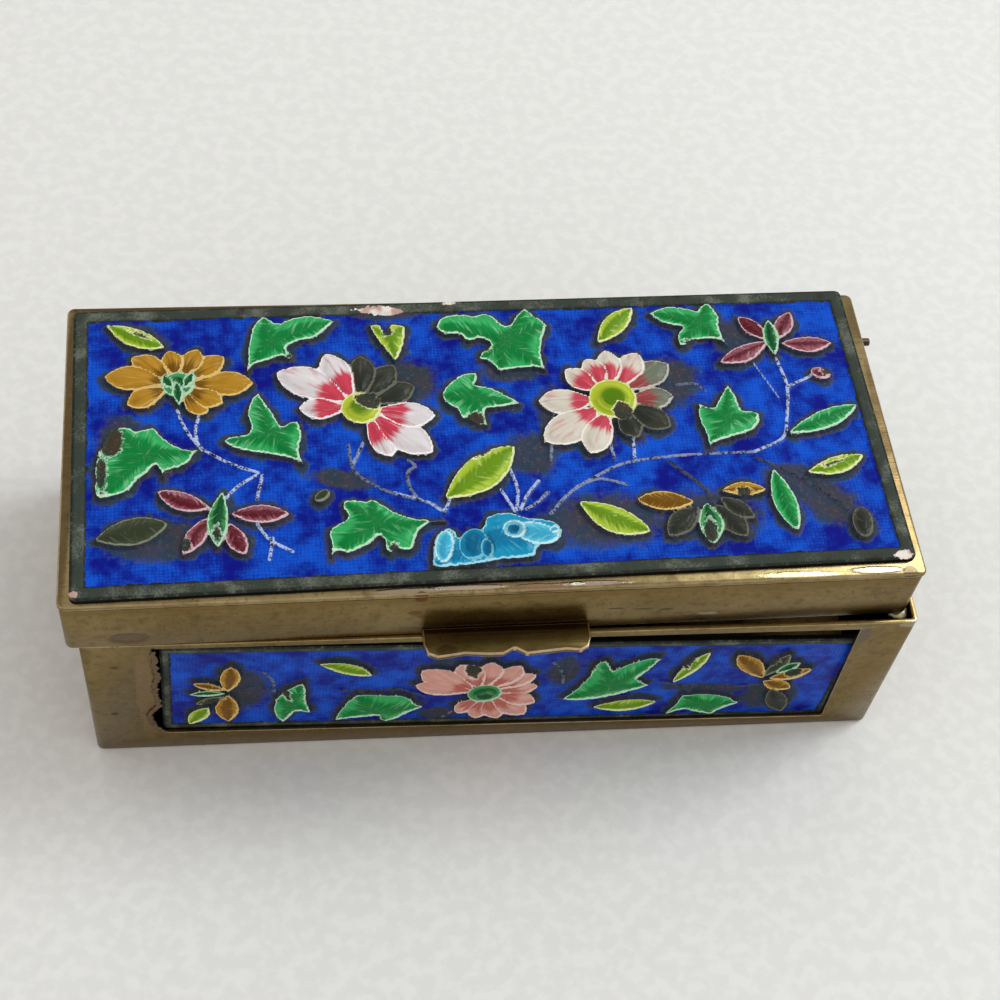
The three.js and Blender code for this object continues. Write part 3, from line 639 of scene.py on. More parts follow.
@dataclass
class Form:
    """One raised form of a panel.

    Attributes:
        outline: Its closed outline, counter-clockwise.
        ribs: Both ends of each of its ridges.
        tint: Its enamel.
        lie: How the strokes run.
        seed: Number that makes its strokes differ.
        turn: Where the heart colour gives way: a share of the way from rib to rim, or for radial strokes the
            distance from the foot.
        foot: The centre that radial strokes start from.
        domed: Whether it is rounded, not ridged.
        rise: Share of the usual rise from rim to crown; below 0 it is a hollow.
    """

    outline: np.ndarray
    ribs: np.ndarray
    tint: Tint
    lie: Lie
    seed: int
    turn: float = 0.5
    foot: Point = (0.0, 0.0)
    domed: bool = False
    rise: float = 1.0

    def measures(self, points: np.ndarray) -> dict[str, np.ndarray]:
        """What the enamel needs to know at each point.

        Args:
            points: Points near the form.

        Returns:
            Signed distance from the outline, the nearest outline point, the place between heart and rim, the
            strokes' coordinates and the height of the form.
        """
        away, place, _ = nearest_on(points, self.outline, np.roll(self.outline, -1, 0))
        depth = np.where(encloses(points, self.outline), away, -away)
        starts, ends = self.ribs[:, 0], self.ribs[:, 1]
        rib, on_rib, which = nearest_on(points, starts, ends)
        run = np.linalg.norm(on_rib - starts[which], axis=1)
        line, off = (ends - starts)[which], points - starts[which]
        side = np.sign(line[:, 0] * off[:, 1] - line[:, 1] * off[:, 0])
        inner = np.maximum(depth, 0)
        share = rib / (rib + inner + 0.05)
        own = np.full_like(rib, self.seed * 3.7)
        if self.lie is Lie.FEATHERED:
            along = share - self.turn + 0.5
            grain = np.stack([(run - 0.9 * rib) * 2.2, rib * 0.5 + side * 9, own], 1)
        else:
            out = points - np.array(self.foot)
            far = np.linalg.norm(out, axis=1)
            along = (far - self.turn) / 3.2 + 0.5
            grain = np.stack([np.arctan2(out[:, 1], out[:, 0]) * 14, far * 0.3, own], 1)
        swell = np.sqrt(np.clip(1 - share**2, 0, 1)) if self.domed else 1 - share
        rise = (CROWN_HEIGHT - RIM_HEIGHT) * self.rise
        height = RIM_HEIGHT + rise * swell * np.clip(inner / CROWN_REACH, 0, 1) ** 0.7
        height += 0.10 * np.exp(-((inner / 0.2) ** 2)) - 0.10 * np.exp(-(((inner - 0.5) / 0.22) ** 2))
        height -= 0.05 * np.exp(-((rib / 0.16) ** 2)) * (inner > 0.3)
        return {"depth": depth, "place": place, "along": along, "grain": grain, "height": height}


@dataclass(frozen=True)
class Leaf:
    """A lobed form: its hub and the points round it; a third value of 1 marks the tip of a lobe."""

    hub: Point
    points: tuple[tuple[float, ...], ...]
    tint: Tint = Tint.EMERALD
    domed: bool = False

    def forms(self, seed: int) -> list[Form]:
        """The leaf as one form, pointed at its tips and smooth between them."""
        places = np.array([point[:2] for point in self.points], float)
        count = len(places)
        tips = [k for k, point in enumerate(self.points) if len(point) == 3]
        ends = [*tips[1:], tips[0] + count]
        runs = [smooth_run(places[np.arange(first, last + 1) % count]) for first, last in zip(tips, ends)]
        hub = np.array(self.hub)
        ribs = np.array([[hub, hub + (tip - hub) * 0.9] for tip in places[tips]])
        outline = nibbled(np.concatenate(runs), seed, 0.16)
        return [Form(outline, ribs, self.tint, Lie.FEATHERED, seed, domed=self.domed)]


@dataclass(frozen=True)
class Blade:
    """A slim leaf or petal from its base to its tip.

    Attributes:
        base: Where it starts.
        tip: Its point.
        half_width: Half of its largest width.
        tint: Its enamel.
        turn: Where the heart colour gives way.
        foot: The flower's centre, for strokes that run out from it.
        lean: Above 1 it is widest nearer the tip.
    """

    base: Point
    tip: Point
    half_width: float
    tint: Tint
    turn: float = 0.5
    foot: Point | None = None
    lean: float = 1.1

    def forms(self, seed: int) -> list[Form]:
        """The blade as one form, a little curved."""
        base, tip = np.array(self.base), np.array(self.tip)
        size = np.linalg.norm(tip - base)
        forward = (tip - base) / size
        across = np.array([-forward[1], forward[0]])
        bend = (np.random.default_rng(seed).random() - 0.5) * 0.09 * size
        t = np.linspace(0.02, 1, 18)
        swell = np.sin(np.pi * t**self.lean).clip(0) ** 0.75 * self.half_width
        spine = base + forward * (t * size)[:, None] + across * (np.sin(np.pi * t) * bend)[:, None]
        half = across * swell[:, None]
        outline = np.concatenate([spine - half, (spine + half)[::-1][1:]])
        middle = spine[9]
        ribs = np.array([[base, middle], [middle, base + forward * size * 0.95]])
        lie = Lie.FEATHERED if self.foot is None else Lie.RADIAL
        outline = nibbled(outline, seed, 0.12)
        return [Form(outline, ribs, self.tint, lie, seed, self.turn, self.foot or self.base)]


@dataclass(frozen=True)
class Oval:
    """An oval form; with a rise below 0 it is a hollow."""

    centre: Point
    half_length: float
    half_width: float
    degrees: float
    tint: Tint
    rise: float = 1.0

    def forms(self, seed: int) -> list[Form]:
        """The oval as one domed form."""
        angle = np.linspace(0, 2 * np.pi, 36, endpoint=False)
        turn = math.radians(self.degrees)
        u, v = self.half_length * np.cos(angle), self.half_width * np.sin(angle)
        axis = np.array([math.cos(turn), math.sin(turn)])
        outline = np.array(self.centre) + u[:, None] * axis + v[:, None] * np.array([-axis[1], axis[0]])
        half = axis * max(self.half_length - self.half_width, 0.05)
        ribs = np.array([[np.array(self.centre) - half, np.array(self.centre) + half]])
        form = Form(nibbled(outline, seed, 0.06), ribs, self.tint, Lie.FEATHERED, seed, 0.55, domed=True)
        return [replace(form, rise=self.rise)]


@dataclass(frozen=True)
class Bloom:
    """An open flower: a dome, and petals given as direction in degrees and reach.

    Attributes:
        centre: The middle of the flower.
        dome: Radius of the dome.
        petals: Direction and reach of each petal.
        tint: Enamel of the petals.
        dome_tint: Enamel of the dome.
        turn: Distance from the centre at which the heart colour gives way.
        other: Enamels of single petals, by direction.
    """

    centre: Point
    dome: float
    petals: tuple[Point, ...]
    tint: Tint
    dome_tint: Tint
    turn: float
    other: dict[float, Tint]

    def forms(self, seed: int) -> list[Form]:
        """The petals, then the dome over them."""
        made = []
        for k, (direction, reach) in enumerate(self.petals):
            base = polar(self.centre, direction, self.dome * 0.5)
            tip = polar(self.centre, direction, reach)
            tint = self.other.get(direction, self.tint)
            petal = Blade(base, tip, 0.4 + reach * 0.17, tint, self.turn, self.centre, lean=1.45)
            made += petal.forms(seed + k)
        return made + Oval(self.centre, self.dome, self.dome, 0, self.dome_tint).forms(seed + 40)


@dataclass(frozen=True)
class Stem:
    """A thin raised stem through points; tone is 1 where pale and 0 where dark."""

    points: tuple[Point, ...]
    tone: float = 1.0
    half_width: float = 0.2


@dataclass(frozen=True)
class Patch:
    """An oval area of a panel."""

    centre: Point
    reach: Point
    degrees: float = 0.0

    def depth(self, points: np.ndarray) -> np.ndarray:
        """How far inside the area each point is: 1 at its middle, 0 at its edge, negative outside."""
        turn = math.radians(self.degrees)
        away = points - np.array(self.centre)
        u = away[:, 0] * math.cos(turn) + away[:, 1] * math.sin(turn)
        v = away[:, 1] * math.cos(turn) - away[:, 0] * math.sin(turn)
        return 1 - np.hypot(u / self.reach[0], v / self.reach[1])


Motif = Leaf | Blade | Oval | Bloom


# ---------- mesh tools ----------
def deselect() -> None:
    """Leaves object mode with nothing selected."""
    if bpy.context.object and bpy.context.object.mode != "OBJECT":
        bpy.ops.object.mode_set(mode="OBJECT")
    bpy.ops.object.select_all(action="DESELECT")


def choose(piece: bpy.types.Object) -> None:
    """Selects one object and makes it active."""
    deselect()
    piece.select_set(True)
    bpy.context.view_layer.objects.active = piece


def coordinates(piece: bpy.types.Object) -> np.ndarray:
    """The mesh's points in millimetres."""
    flat = np.empty(len(piece.data.vertices) * 3, np.float32)
    piece.data.vertices.foreach_get("co", flat)
    return flat.reshape(-1, 3).astype(float) / MM


def write_coordinates(piece: bpy.types.Object, points: np.ndarray) -> None:
    """Writes the mesh's points from millimetres."""
    piece.data.vertices.foreach_set("co", (points * MM).astype(np.float32).ravel())
    piece.data.update()


def write_attribute(piece: bpy.types.Object, name: str, values: np.ndarray) -> None:
    """Stores a number or a vector at each point of the mesh."""
    kind, key = ("FLOAT", "value") if values.ndim == 1 else ("FLOAT_VECTOR", "vector")
    made = piece.data.attributes.new(name, kind, "POINT")
    made.data.foreach_set(key, values.astype(np.float32).ravel())


def apply_modifier(piece: bpy.types.Object, kind: str, **settings: object) -> None:
    """Adds a modifier, sets it and applies it."""
    choose(piece)
    made = piece.modifiers.new(kind.lower(), kind)
    for key, value in settings.items():
        setattr(made, key, value)
    bpy.ops.object.modifier_apply(modifier=made.name)


def copy_of(node: str, name: str) -> bpy.types.Object:
    """A merged copy of a CAD node, ready to be worked on."""
    choose(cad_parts[node])
    bpy.ops.object.duplicate()
    made = bpy.context.active_object
    made.parent = None
    for key in [k for k in made.keys() if k.startswith("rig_")]:
        del made[key]
    made.name = name
    made.data.materials.clear()
    bpy.ops.object.mode_set(mode="EDIT")
    bpy.ops.mesh.select_all(action="SELECT")
    bpy.ops.mesh.remove_doubles(threshold=0.002 * MM)
    bpy.ops.mesh.dissolve_limited(angle_limit=math.radians(0.5))
    bpy.ops.object.mode_set(mode="OBJECT")
    return made


def join_onto(piece: bpy.types.Object, *others: bpy.types.Object) -> None:
    """Joins other objects onto a piece, with their materials."""
    choose(piece)
    for other in others:
        other.select_set(True)
    bpy.ops.object.join()


def dress(piece: bpy.types.Object, body: str, node: str) -> None:
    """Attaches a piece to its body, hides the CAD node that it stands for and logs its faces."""
    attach(piece, body)
    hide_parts(node)
    log.info("%s: %d faces", piece.name, len(piece.data.polygons))


# ---------- the panels ----------
@dataclass
class EnamelPanel:
    """A stamped panel with raised, enamelled flowers and leaves inside a beaded border.

    Attributes:
        name: The piece's name.
        place: Where the panel's own plane stands in the model.
        left, right, bottom, top: Its edges in its own plane.
        border: Width of the border.
        pitch: Size of the grid's cells.
        motifs: Its raised forms, later ones over earlier ones.
        stems: Its stems.
        losses: Where the forms have lost their enamel.
        soot: Where the ground is bare and dark.
        scars: Where pale old enamel clings to the border.
        bead: Height of the border over the ground.
        thickness: How far its turned-down edge reaches below the ground.
        corner: Radius of its corners.
        margin: How far round a form its distance is kept.
    """

    name: str
    place: Matrix
    left: float
    right: float
    bottom: float
    top: float
    border: float
    pitch: float
    motifs: tuple[Motif, ...]
    stems: tuple[Stem, ...]
    losses: tuple[Patch, ...]
    soot: tuple[Patch, ...]
    scars: tuple[Patch, ...] = ()
    bead: float = 0.2
    thickness: float = 0.6
    corner: float = 0.8
    margin: float = 2.6

    def painted(self, points: np.ndarray) -> dict[str, np.ndarray]:
        """Lays every motif on the grid.

        Args:
            points: The grid's points, which move onto the outlines that they are close to.

        Returns:
            The values that the coat reads at each point, and each point's height.
        """
        count = len(points)
        fields = {key: np.zeros((count, 3)) for key in ("grain", "heart", "body", "rim")}
        fields |= {"edge": np.full(count, -self.margin), "lip": np.full(count, 0.15)}
        fields |= {"along": np.zeros(count), "height": np.zeros(count)}
        snap = self.pitch * 0.48
        home = points.copy()
        for form in [form for k, motif in enumerate(self.motifs) for form in motif.forms(100 + 50 * k)]:
            low, high = form.outline.min(0) - self.margin, form.outline.max(0) + self.margin
            near = np.flatnonzero(((home >= low) & (home <= high)).all(1))
            found = form.measures(home[near])
            own = found["depth"] > -snap
            closer = ~own & (found["depth"] > fields["edge"][near]) & (fields["edge"][near] < 0)
            taken = own | closer
            rows = near[taken]
            outward = (found["place"] - home[near]) * np.sign(found["depth"])[:, None]
            outward /= np.maximum(np.linalg.norm(outward, axis=1, keepdims=True), 1e-9)
            found["edge"] = found["depth"]
            # Rims facing right and towards the panel's -y side get a wider pale lip: pale enamel plus a
            # painted highlight.
            found["lip"] = 0.12 + 0.24 * np.clip(outward @ np.array([0.55, -0.83]), 0, 1)
            for key in ("edge", "along", "grain", "lip"):
                fields[key][rows] = found[key][taken]
            for key in ("heart", "body", "rim"):
                fields[key][rows] = getattr(form.tint.value, key)
            fields["height"][near[own]] = found["height"][own]
            points[near[own]] = home[near[own]]
            touching = own & (np.abs(found["depth"]) <= snap)
            points[near[touching]] = found["place"][touching]
            fields["edge"][near[touching]] = 0.002
        return fields

    def lay_stems(self, points: np.ndarray) -> tuple[np.ndarray, np.ndarray]:
        """How far inside a stem each point is, and that stem's tone."""
        stem, tone = np.full(len(points), -1.0), np.zeros(len(points))
        for line in self.stems:
            path = np.vstack([smooth_run(np.array(line.points, float)), line.points[-1]])
            away, _, _ = nearest_on(points, path[:-1], path[1:])
            closer = line.half_width - away > stem
            stem[closer], tone[closer] = (line.half_width - away)[closer], line.tone
        return stem, tone

    def relief(self, points: np.ndarray, fields: dict[str, np.ndarray]) -> np.ndarray:
        """Height of the panel at each point: forms, stems, bead and a little unevenness."""
        x, y = points[:, 0], points[:, 1]
        fall = 1 - 0.75 * smooth(fields["border"], self.border - 0.45, self.border)
        bead = smooth(fields["border"], -0.15, 0.45) * self.bead * fall
        dent = 0.03 * np.sin(x * 0.9 + np.sin(y * 0.7)) * np.sin(y * 1.1)
        ridge = STEM_HEIGHT * smooth(fields["stem"], -0.16, 0.12)
        skirt = 0.12 * np.exp(np.minimum(fields["edge"], 0) / 0.12)
        ground = np.maximum.reduce([bead, ridge, skirt + dent, dent])
        form = fields["height"] - 0.12 * smooth(fields["loss"], -0.05, 0.15)
        return np.minimum(np.where(fields["edge"] < 0, ground, form), CROWN_HEIGHT)

    def round_corners(self, points: np.ndarray) -> None:
        """Draws the points beyond the round corners in onto them."""
        low = np.array([self.left, self.bottom]) + self.corner
        high = np.array([self.right, self.top]) - self.corner
        over = points - np.clip(points, low, high)
        far = np.linalg.norm(over, axis=1)
        outside = (np.abs(over) > 0).all(1) & (far > self.corner)
        points[outside] -= over[outside] * (1 - self.corner / far[outside])[:, None]

    def close(self, made: bpy.types.Object) -> None:
        """Turns the panel's edge down and closes its underside."""
        choose(made)
        bpy.ops.object.mode_set(mode="EDIT")
        bpy.ops.mesh.select_mode(type="EDGE")
        bpy.ops.mesh.select_all(action="DESELECT")
        bpy.ops.mesh.select_non_manifold()
        down = (0, 0, -10 * self.thickness * MM)
        bpy.ops.mesh.extrude_region_move(TRANSFORM_OT_translate={"value": down})
        bpy.ops.mesh.edge_face_add()
        bpy.ops.object.mode_set(mode="OBJECT")
        solid = coordinates(made)
        under = solid[:, 2] < -self.thickness
        solid[under, 2] = -self.thickness
        write_coordinates(made, solid)
        border = np.empty(len(solid), np.float32)
        made.data.attributes["border"].data.foreach_get("value", border)
        # The underside is marked far outside the border, so the coat paints it and the edge as shade.
        border[under] = 2 * self.border + 1
        made.data.attributes["border"].data.foreach_set("value", border)

    def build(self) -> bpy.types.Object:
        """Shapes the panel, stores what its coat reads and puts it in its place."""
        deselect()
        size = np.array([self.right - self.left, self.top - self.bottom])
        across, deep = (round(side / self.pitch) for side in size)
        bpy.ops.mesh.primitive_grid_add(x_subdivisions=across, y_subdivisions=deep, size=1)
        made = bpy.context.active_object
        made.name = self.name
        points = np.array([self.left, self.bottom]) + (coordinates(made)[:, :2] * MM + 0.5) * size
        fields = self.painted(points)
        fields["stem"], fields["stem_tone"] = self.lay_stems(points)
        for key, patches in (("loss", self.losses), ("soot", self.soot), ("scar", self.scars)):
            found = [patch.depth(points) * (min(patch.reach) if key == "loss" else 1) for patch in patches]
            fields[key] = np.max([*found, np.full(len(points), -2.0)], axis=0)
        x, y = points[:, 0], points[:, 1]
        inset = np.stack([x - self.left, self.right - x, y - self.bottom, self.top - y]).min(0)
        fields["border"] = self.border - inset
        fields["height"] = self.relief(points, fields)
        self.round_corners(points)
        full = np.concatenate([points, fields.pop("height")[:, None]], 1)
        for key, values in fields.items():
            write_attribute(made, key, values)
        write_attribute(made, "place", full)
        write_coordinates(made, full)
        self.close(made)
        made.data.transform(self.place)
        bpy.ops.object.shade_smooth_by_angle(angle=math.radians(50))
        made.data.materials.append(EnamelCoat(self.name, self.border).make())
        return made


# ---------- what the panels show ----------
LID_MOTIFS = (
    Leaf((-25.7, 14.8), (
        (-26.2, 19.27, 1), (-24.73, 18.07), (-23.4, 18.5), (-21.73, 19.07), (-19.73, 19),
        (-17.5, 18.17, 1), (-18.73, 16.67), (-20.4, 15.5), (-21.9, 15.17), (-23.23, 14.5),
        (-23.73, 13.83), (-22.9, 13, 1), (-23.4, 12.33), (-24.4, 12.83), (-26.07, 12.17),
        (-27.73, 11.67), (-28.73, 10.5, 1), (-28.47, 12.33), (-28.4, 14), (-28.07, 15.67),
        (-27.8, 17.33), (-27.23, 18.33), (-26.73, 18.93)
    )),
    Leaf((-26.2, 0.6), (
        (-27.47, 7, 1), (-26.7, 5.5), (-25.93, 4), (-25.27, 2.33), (-24.7, 1.83), (-23.87, 2.33),
        (-22.97, 2.5, 1), (-22.63, 1.33), (-22.6, 0), (-23.03, -2), (-22.6, -3.9, 1), (-23.87, -3),
        (-25.53, -2.5), (-27.53, -2), (-29.53, -1.5), (-31.03, -0.83), (-31.87, -0.1, 1), (-31.2, 0.5),
        (-29.7, 0.67), (-28.87, 1), (-28.53, 2.33), (-28.87, 4), (-28.53, 5.5), (-28.03, 6.5)
    )),
    Leaf((-41.2, -1.8), (
        (-46.27, -7.63, 1), (-46.87, -6.8), (-46.87, -2.13), (-46.2, -0.13), (-45.7, 1.53),
        (-44.2, 2.53, 1), (-43.03, 2.47), (-42.2, 1.87), (-41.03, 2.2), (-40.03, 2.2), (-39.2, 1.03),
        (-37.87, -0.3), (-36.2, -1.13), (-34.87, -1.2, 1), (-35.53, -1.8), (-36.03, -2.8),
        (-37.03, -3.47), (-38.53, -4.13), (-39, -5.1, 1), (-39.87, -3.13), (-40.87, -4.13),
        (-42.03, -5.13), (-43.2, -6.63), (-44.87, -7.3)
    )),
    Leaf((3.93, 14), (
        (-4.67, 16.67, 1), (-4.07, 17.83), (-2.9, 18.5), (-1.23, 18.6), (0.43, 18.33), (1.93, 18.6),
        (2.93, 18), (3.77, 16.83), (4.43, 16.5), (5.1, 16.83), (5.77, 18), (7.1, 19.33, 1),
        (7.93, 18.33), (9.27, 17), (9.6, 16.33, 1), (9.1, 15), (8.6, 13.67), (8.27, 12), (8.27, 10.67),
        (8.53, 9.17, 1), (7.43, 9.67), (5.6, 9.67), (3.93, 9.5), (2.77, 9.17, 1), (2.27, 9.83),
        (1.6, 10.83), (0.33, 11.33, 1), (0.77, 12.33), (1.6, 13), (2.1, 13.5), (1.77, 14.17),
        (0.77, 14.67), (-0.23, 14.33), (-1.07, 14.5), (-1.57, 15.33), (-2.73, 15.5), (-3.73, 15.67)
    )),
    Leaf((-0.83, 4.87), (
        (-5, 5.53, 1), (-4.5, 6.7), (-3.33, 8.03), (-1.83, 8.93), (-0.33, 9.03, 1), (-0.33, 8.03),
        (-0.67, 7.13), (0.33, 6.87), (1.67, 6.37), (3, 5.37), (4.67, 4.03, 1), (3.33, 3.8), (1.67, 3.53),
        (0.33, 3.47), (0, 2.37), (0.17, 0.87, 1), (-1.17, 1.2), (-2, 1.87), (-2.83, 2.2), (-3.17, 3.37),
        (-4.33, 4.37)
    )),
    Leaf((-14.4, -13.07), (
        (-18.23, -9.57, 1), (-17.07, -9.4), (-15.57, -9.73), (-14.9, -9.4, 1), (-14.07, -9.9),
        (-12.73, -11.07), (-11.07, -12.07), (-9.4, -12.57), (-6.4, -13, 1), (-8.07, -13.07),
        (-9.4, -13.9), (-10.07, -15.07), (-10.57, -16.4), (-11.4, -16.8), (-12.57, -16.4),
        (-13.23, -17.07, 1), (-13.73, -16.4), (-13.67, -15.4), (-14.4, -14.57), (-15.4, -15.57),
        (-17.07, -16.4), (-18.07, -16.8), (-19.4, -16.4), (-20.13, -17.13, 1), (-19.9, -15.4),
        (-20.07, -13.73), (-19.23, -12.9), (-18.07, -12.23), (-17.73, -11.4), (-18.23, -10.57)
    )),
    Leaf((29.63, 15.8), (
        (23.3, 17.87, 1), (24.63, 18.47), (26.13, 18.87), (27.97, 18.63), (29.3, 18.13), (29.8, 17.97),
        (30.3, 18.8), (31.3, 19.3, 1), (31.97, 18.3), (32.4, 16.8), (32.13, 15.13), (32.3, 13.47),
        (32.7, 12.13, 1), (31.8, 13.13), (29.97, 13.4), (28.3, 13.07), (26.97, 12.47), (26.47, 12.47, 1),
        (26.37, 13.63), (26.8, 14.63), (27.3, 15.47), (26.13, 15.8), (24.97, 16.3), (23.97, 17.13)
    )),
    Leaf((30.4, 0.23), (
        (31.47, 5.67, 1), (32.07, 4.07), (32.33, 2.4), (32.57, 1.57), (33.73, 1.4), (34.57, 1.07, 1),
        (34.4, -0.27), (33.57, -1.27), (32.07, -1.93), (30.4, -2.43), (28.73, -2.87), (27.33, -3.67, 1),
        (27.4, -2.27), (27.07, -0.6), (26.9, 1.07), (27.23, 2.9, 1), (28.07, 2.4), (29.07, 2.23),
        (29.9, 3.4), (30.73, 4.73)
    )),
    Leaf((-10.4, 15), (
        (-13.1, 17.2, 1), (-11.9, 17.3), (-11.2, 16.3), (-10.2, 17.3), (-8.6, 16.9, 1), (-8.9, 14.5),
        (-9.6, 12.4), (-10.3, 11.5, 1), (-11.1, 12.9), (-12.3, 15.2)
    ), Tint.LIME),
    Leaf((-0.7, -15.8), (
        (-8.53, -19.07, 1), (-8.2, -16.73), (-7.7, -15.07), (-6.53, -14.07), (-5.53, -14.4),
        (-5.2, -15.4, 1), (-4.03, -15.23), (-2.7, -14.73), (-1.87, -13.9), (-1.37, -12.73),
        (-0.03, -12.23), (1.63, -12.33), (3.3, -13.07), (4.97, -13.33), (6.63, -13.9), (7.23, -14.9),
        (6.97, -16.07), (5.63, -16.33, 1), (4.47, -16.9), (3.8, -17.73), (3.63, -18.4), (1.63, -18.67),
        (-0.7, -18.73), (-3.03, -19.13), (-5.7, -19.33), (-7.7, -19.4)
    ), Tint.TURQUOISE, True),
    Blade((-45.8, 18.6), (-38.7, 14.7), 1.4, Tint.LIME),
    Blade((-47.0, -13.4), (-38.6, -11.6), 1.9, Tint.OLIVE),
    Blade((-6.1, -9.8), (3.1, -2.5), 2.4, Tint.LIME),
    Blade((15.8, 13.2), (21.2, 18.9), 1.5, Tint.LIME),
    Blade((37.8, -2.2), (47.6, 1.8), 1.4, Tint.EMERALD),
    Blade((38.9, -8.2), (46.6, -6.0), 1.3, Tint.LIME),
    Blade((9.9, -11.1), (17.9, -15.8), 1.9, Tint.LIME),
    Blade((34.7, -7.5), (35.9, -16.7), 1.5, Tint.EMERALD),
    Bloom((-37.1, 8.8), 1.9, ((359, 9.1), (36, 7.0), (65, 6.0), (101, 5.5), (141, 7.2), (170, 9.0), (205, 6.8),
                              (306, 5.8), (329, 6.2)), Tint.AMBER, Tint.CALYX, 3.4, {}),
    Bloom((-15.1, 4.2), 2.4, ((25, 7.6), (55, 8.0), (86, 8.2), (114, 9.5), (149, 11.7), (177, 7.6), (293, 8.2),
                              (319, 10.9), (350, 9.2)), Tint.IVORY, Tint.POLLEN, 5.8,
          {25: Tint.GONE, 55: Tint.GONE, 86: Tint.GONE}),
    Bloom((16.4, 4.2), 3.0, ((0, 7.8), (33, 9.6), (59, 8.4), (88, 7.8), (112, 7.0), (138, 7.3), (180, 9.5),
                             (213, 11.4), (244, 9.3), (290, 6.6), (325, 8.2)), Tint.CREAM, Tint.POLLEN, 5.4,
          {0: Tint.ASHEN, 33: Tint.ASHEN, 290: Tint.GONE, 325: Tint.GONE}),
    Blade((-37.0, 5.6), (-37.3, 9.4), 0.7, Tint.CALYX),
    Blade((-36.4, 8.2), (-35.2, 10.6), 0.7, Tint.CALYX),
    Blade((-37.8, 8.2), (-38.9, 10.4), 0.7, Tint.CALYX),
    Blade((-33.6, -9.8), (-39.8, -7.0), 1.3, Tint.MAROON),
    Blade((-31.4, -10.6), (-24.6, -11.0), 1.3, Tint.MAROON),
    Blade((-33.6, -10.8), (-37.0, -16.0), 1.2, Tint.MAROON),
    Blade((-31.8, -11.8), (-29.9, -16.4), 1.2, Tint.MAROON, 0.6),
    Blade((-32.2, -7.4), (-33.0, -15.2), 1.2, Tint.CALYX),
    Blade((38.2, 12.6), (31.2, 9.4), 1.3, Tint.MAROON, 0.3),
    Blade((38.2, 12.8), (34.9, 16.8), 1.2, Tint.MAROON, 0.9),
    Blade((39.4, 12.8), (42.1, 17.4), 1.2, Tint.MAROON, 0.4),
    Blade((39.8, 12.2), (46.6, 12.0), 1.3, Tint.MAROON, 0.3),
    Blade((38.7, 10.2), (38.9, 16.2), 1.0, Tint.CALYX),
    Blade((24.0, -11.9), (17.0, -11.1), 1.4, Tint.AMBER, 0.8),
    Blade((27.6, -10.4), (33.2, -10.5), 1.0, Tint.AMBER, 0.3),
    Blade((24.4, -12.6), (20.0, -16.6), 1.6, Tint.GONE),
    Blade((26.4, -12.4), (29.6, -17.2), 1.6, Tint.GONE),
    Blade((27.2, -11.4), (31.0, -14.6), 1.2, Tint.GONE),
    Blade((25.4, -12.0), (25.2, -18.0), 1.5, Tint.CALYX),
    Oval((-6.87, -16.57), 2.2, 1.1, 80, Tint.PALE),
    Oval((-3.4, -16.4), 2.2, 1.7, 70, Tint.TEAL),
    Oval((-1.87, -17.07), 1.3, 0.75, 90, Tint.TEAL, 0.3),
    Oval((4.2, -15.3), 2.7, 1.5, 165, Tint.PALE),
    Oval((1.63, -14.57), 1.35, 1.25, 0, Tint.PALE),
    Oval((1.63, -14.57), 0.92, 0.86, 0, Tint.TEAL, -0.9),
    Oval((6.4, -14.9), 0.6, 0.5, 0, Tint.PALE),
    Oval((44.0, 7.1), 1.3, 0.9, 160, Tint.MAROON),
    Oval((44.2, -15.9), 2.2, 1.3, 85, Tint.GONE),
    Oval((-20.6, -8.6), 1.1, 0.7, 40, Tint.OLIVE),
)
LID_STEMS = (
    Stem(((-37.3, 5.2), (-36.5, 2.6), (-34.6, -0.6), (-31.0, -3.2), (-27.9, -4.6))),
    Stem(((-34.6, 4.4), (-35.2, 2.2), (-34.9, -0.2), (-34.4, -1.0))),
    Stem(((-28.3, -5.0), (-30.5, -6.5), (-32.2, -8.5))),
    Stem(((-27.5, -5.0), (-28.3, -8.5))),
    Stem(((-28.4, -12.0), (-27.0, -14.2), (-24.5, -16.0))),
    Stem(((-26.7, -14.0), (-27.2, -17.0))),
    Stem(((-17.0, -1.0), (-16.5, -5.0), (-13.0, -8.0), (-8.0, -10.0), (-6.3, -11.5)), 0.35, 0.2),
    Stem(((-12.0, -8.4), (-8.0, -10.0), (-6.5, -11.3), (-5.6, -9.9))),
    Stem(((-15.2, -0.8), (-16.6, -3.8)), 0.6),
    Stem(((-10.0, -3.6), (-9.2, -4.6), (-10.2, -5.4), (-10.2, -7.4), (-9.4, -9.2)), 0.35),
    Stem(((6.3, -12.4), (9.0, -9.5), (13.0, -7.0), (17.0, -5.3), (24.0, -4.6), (33.0, -4.5)), 0.55),
    Stem(((33.0, -4.5), (37.0, -2.6), (38.2, 0.5), (39.3, 5.5), (38.8, 10.0)), 1.0, 0.2),
    Stem(((39.5, 5.5), (43.0, 7.1))),
    Stem(((37.8, 3.8), (35.6, 9.5)), 0.8, 0.12),
    Stem(((33.0, -5.5), (37.0, -8.0), (41.5, -12.0), (44.0, -15.0)), 0.1, 0.22),
    Stem(((22.0, -5.5), (25.6, -9.5), (26.4, -12.0)), 0.1, 0.25),
    Stem(((18.2, -0.6), (17.8, -4.8))),
    Stem(((15.0, -1.2), (15.3, -4.8)), 0.6),
    Stem(((2.1, -11.8), (0.8, -8.6))),
    Stem(((2.3, -11.6), (2.8, -8.6), (2.2, -5.5))),
    Stem(((2.8, -11.6), (3.9, -9.4), (5.5, -7.5))),
    Stem(((3.4, -11.6), (5.0, -10.6), (6.4, -9.2)), 0.7),
    Stem(((10.0, -8.6), (13.0, -7.6), (16.2, -8.6)), 0.5),
    Stem(((8.8, 3.2), (7.4, -4.6)), 0.5),
    Stem(((25.0, 6.4), (27.4, 6.4), (28.4, 5.4)), 0.3),
)
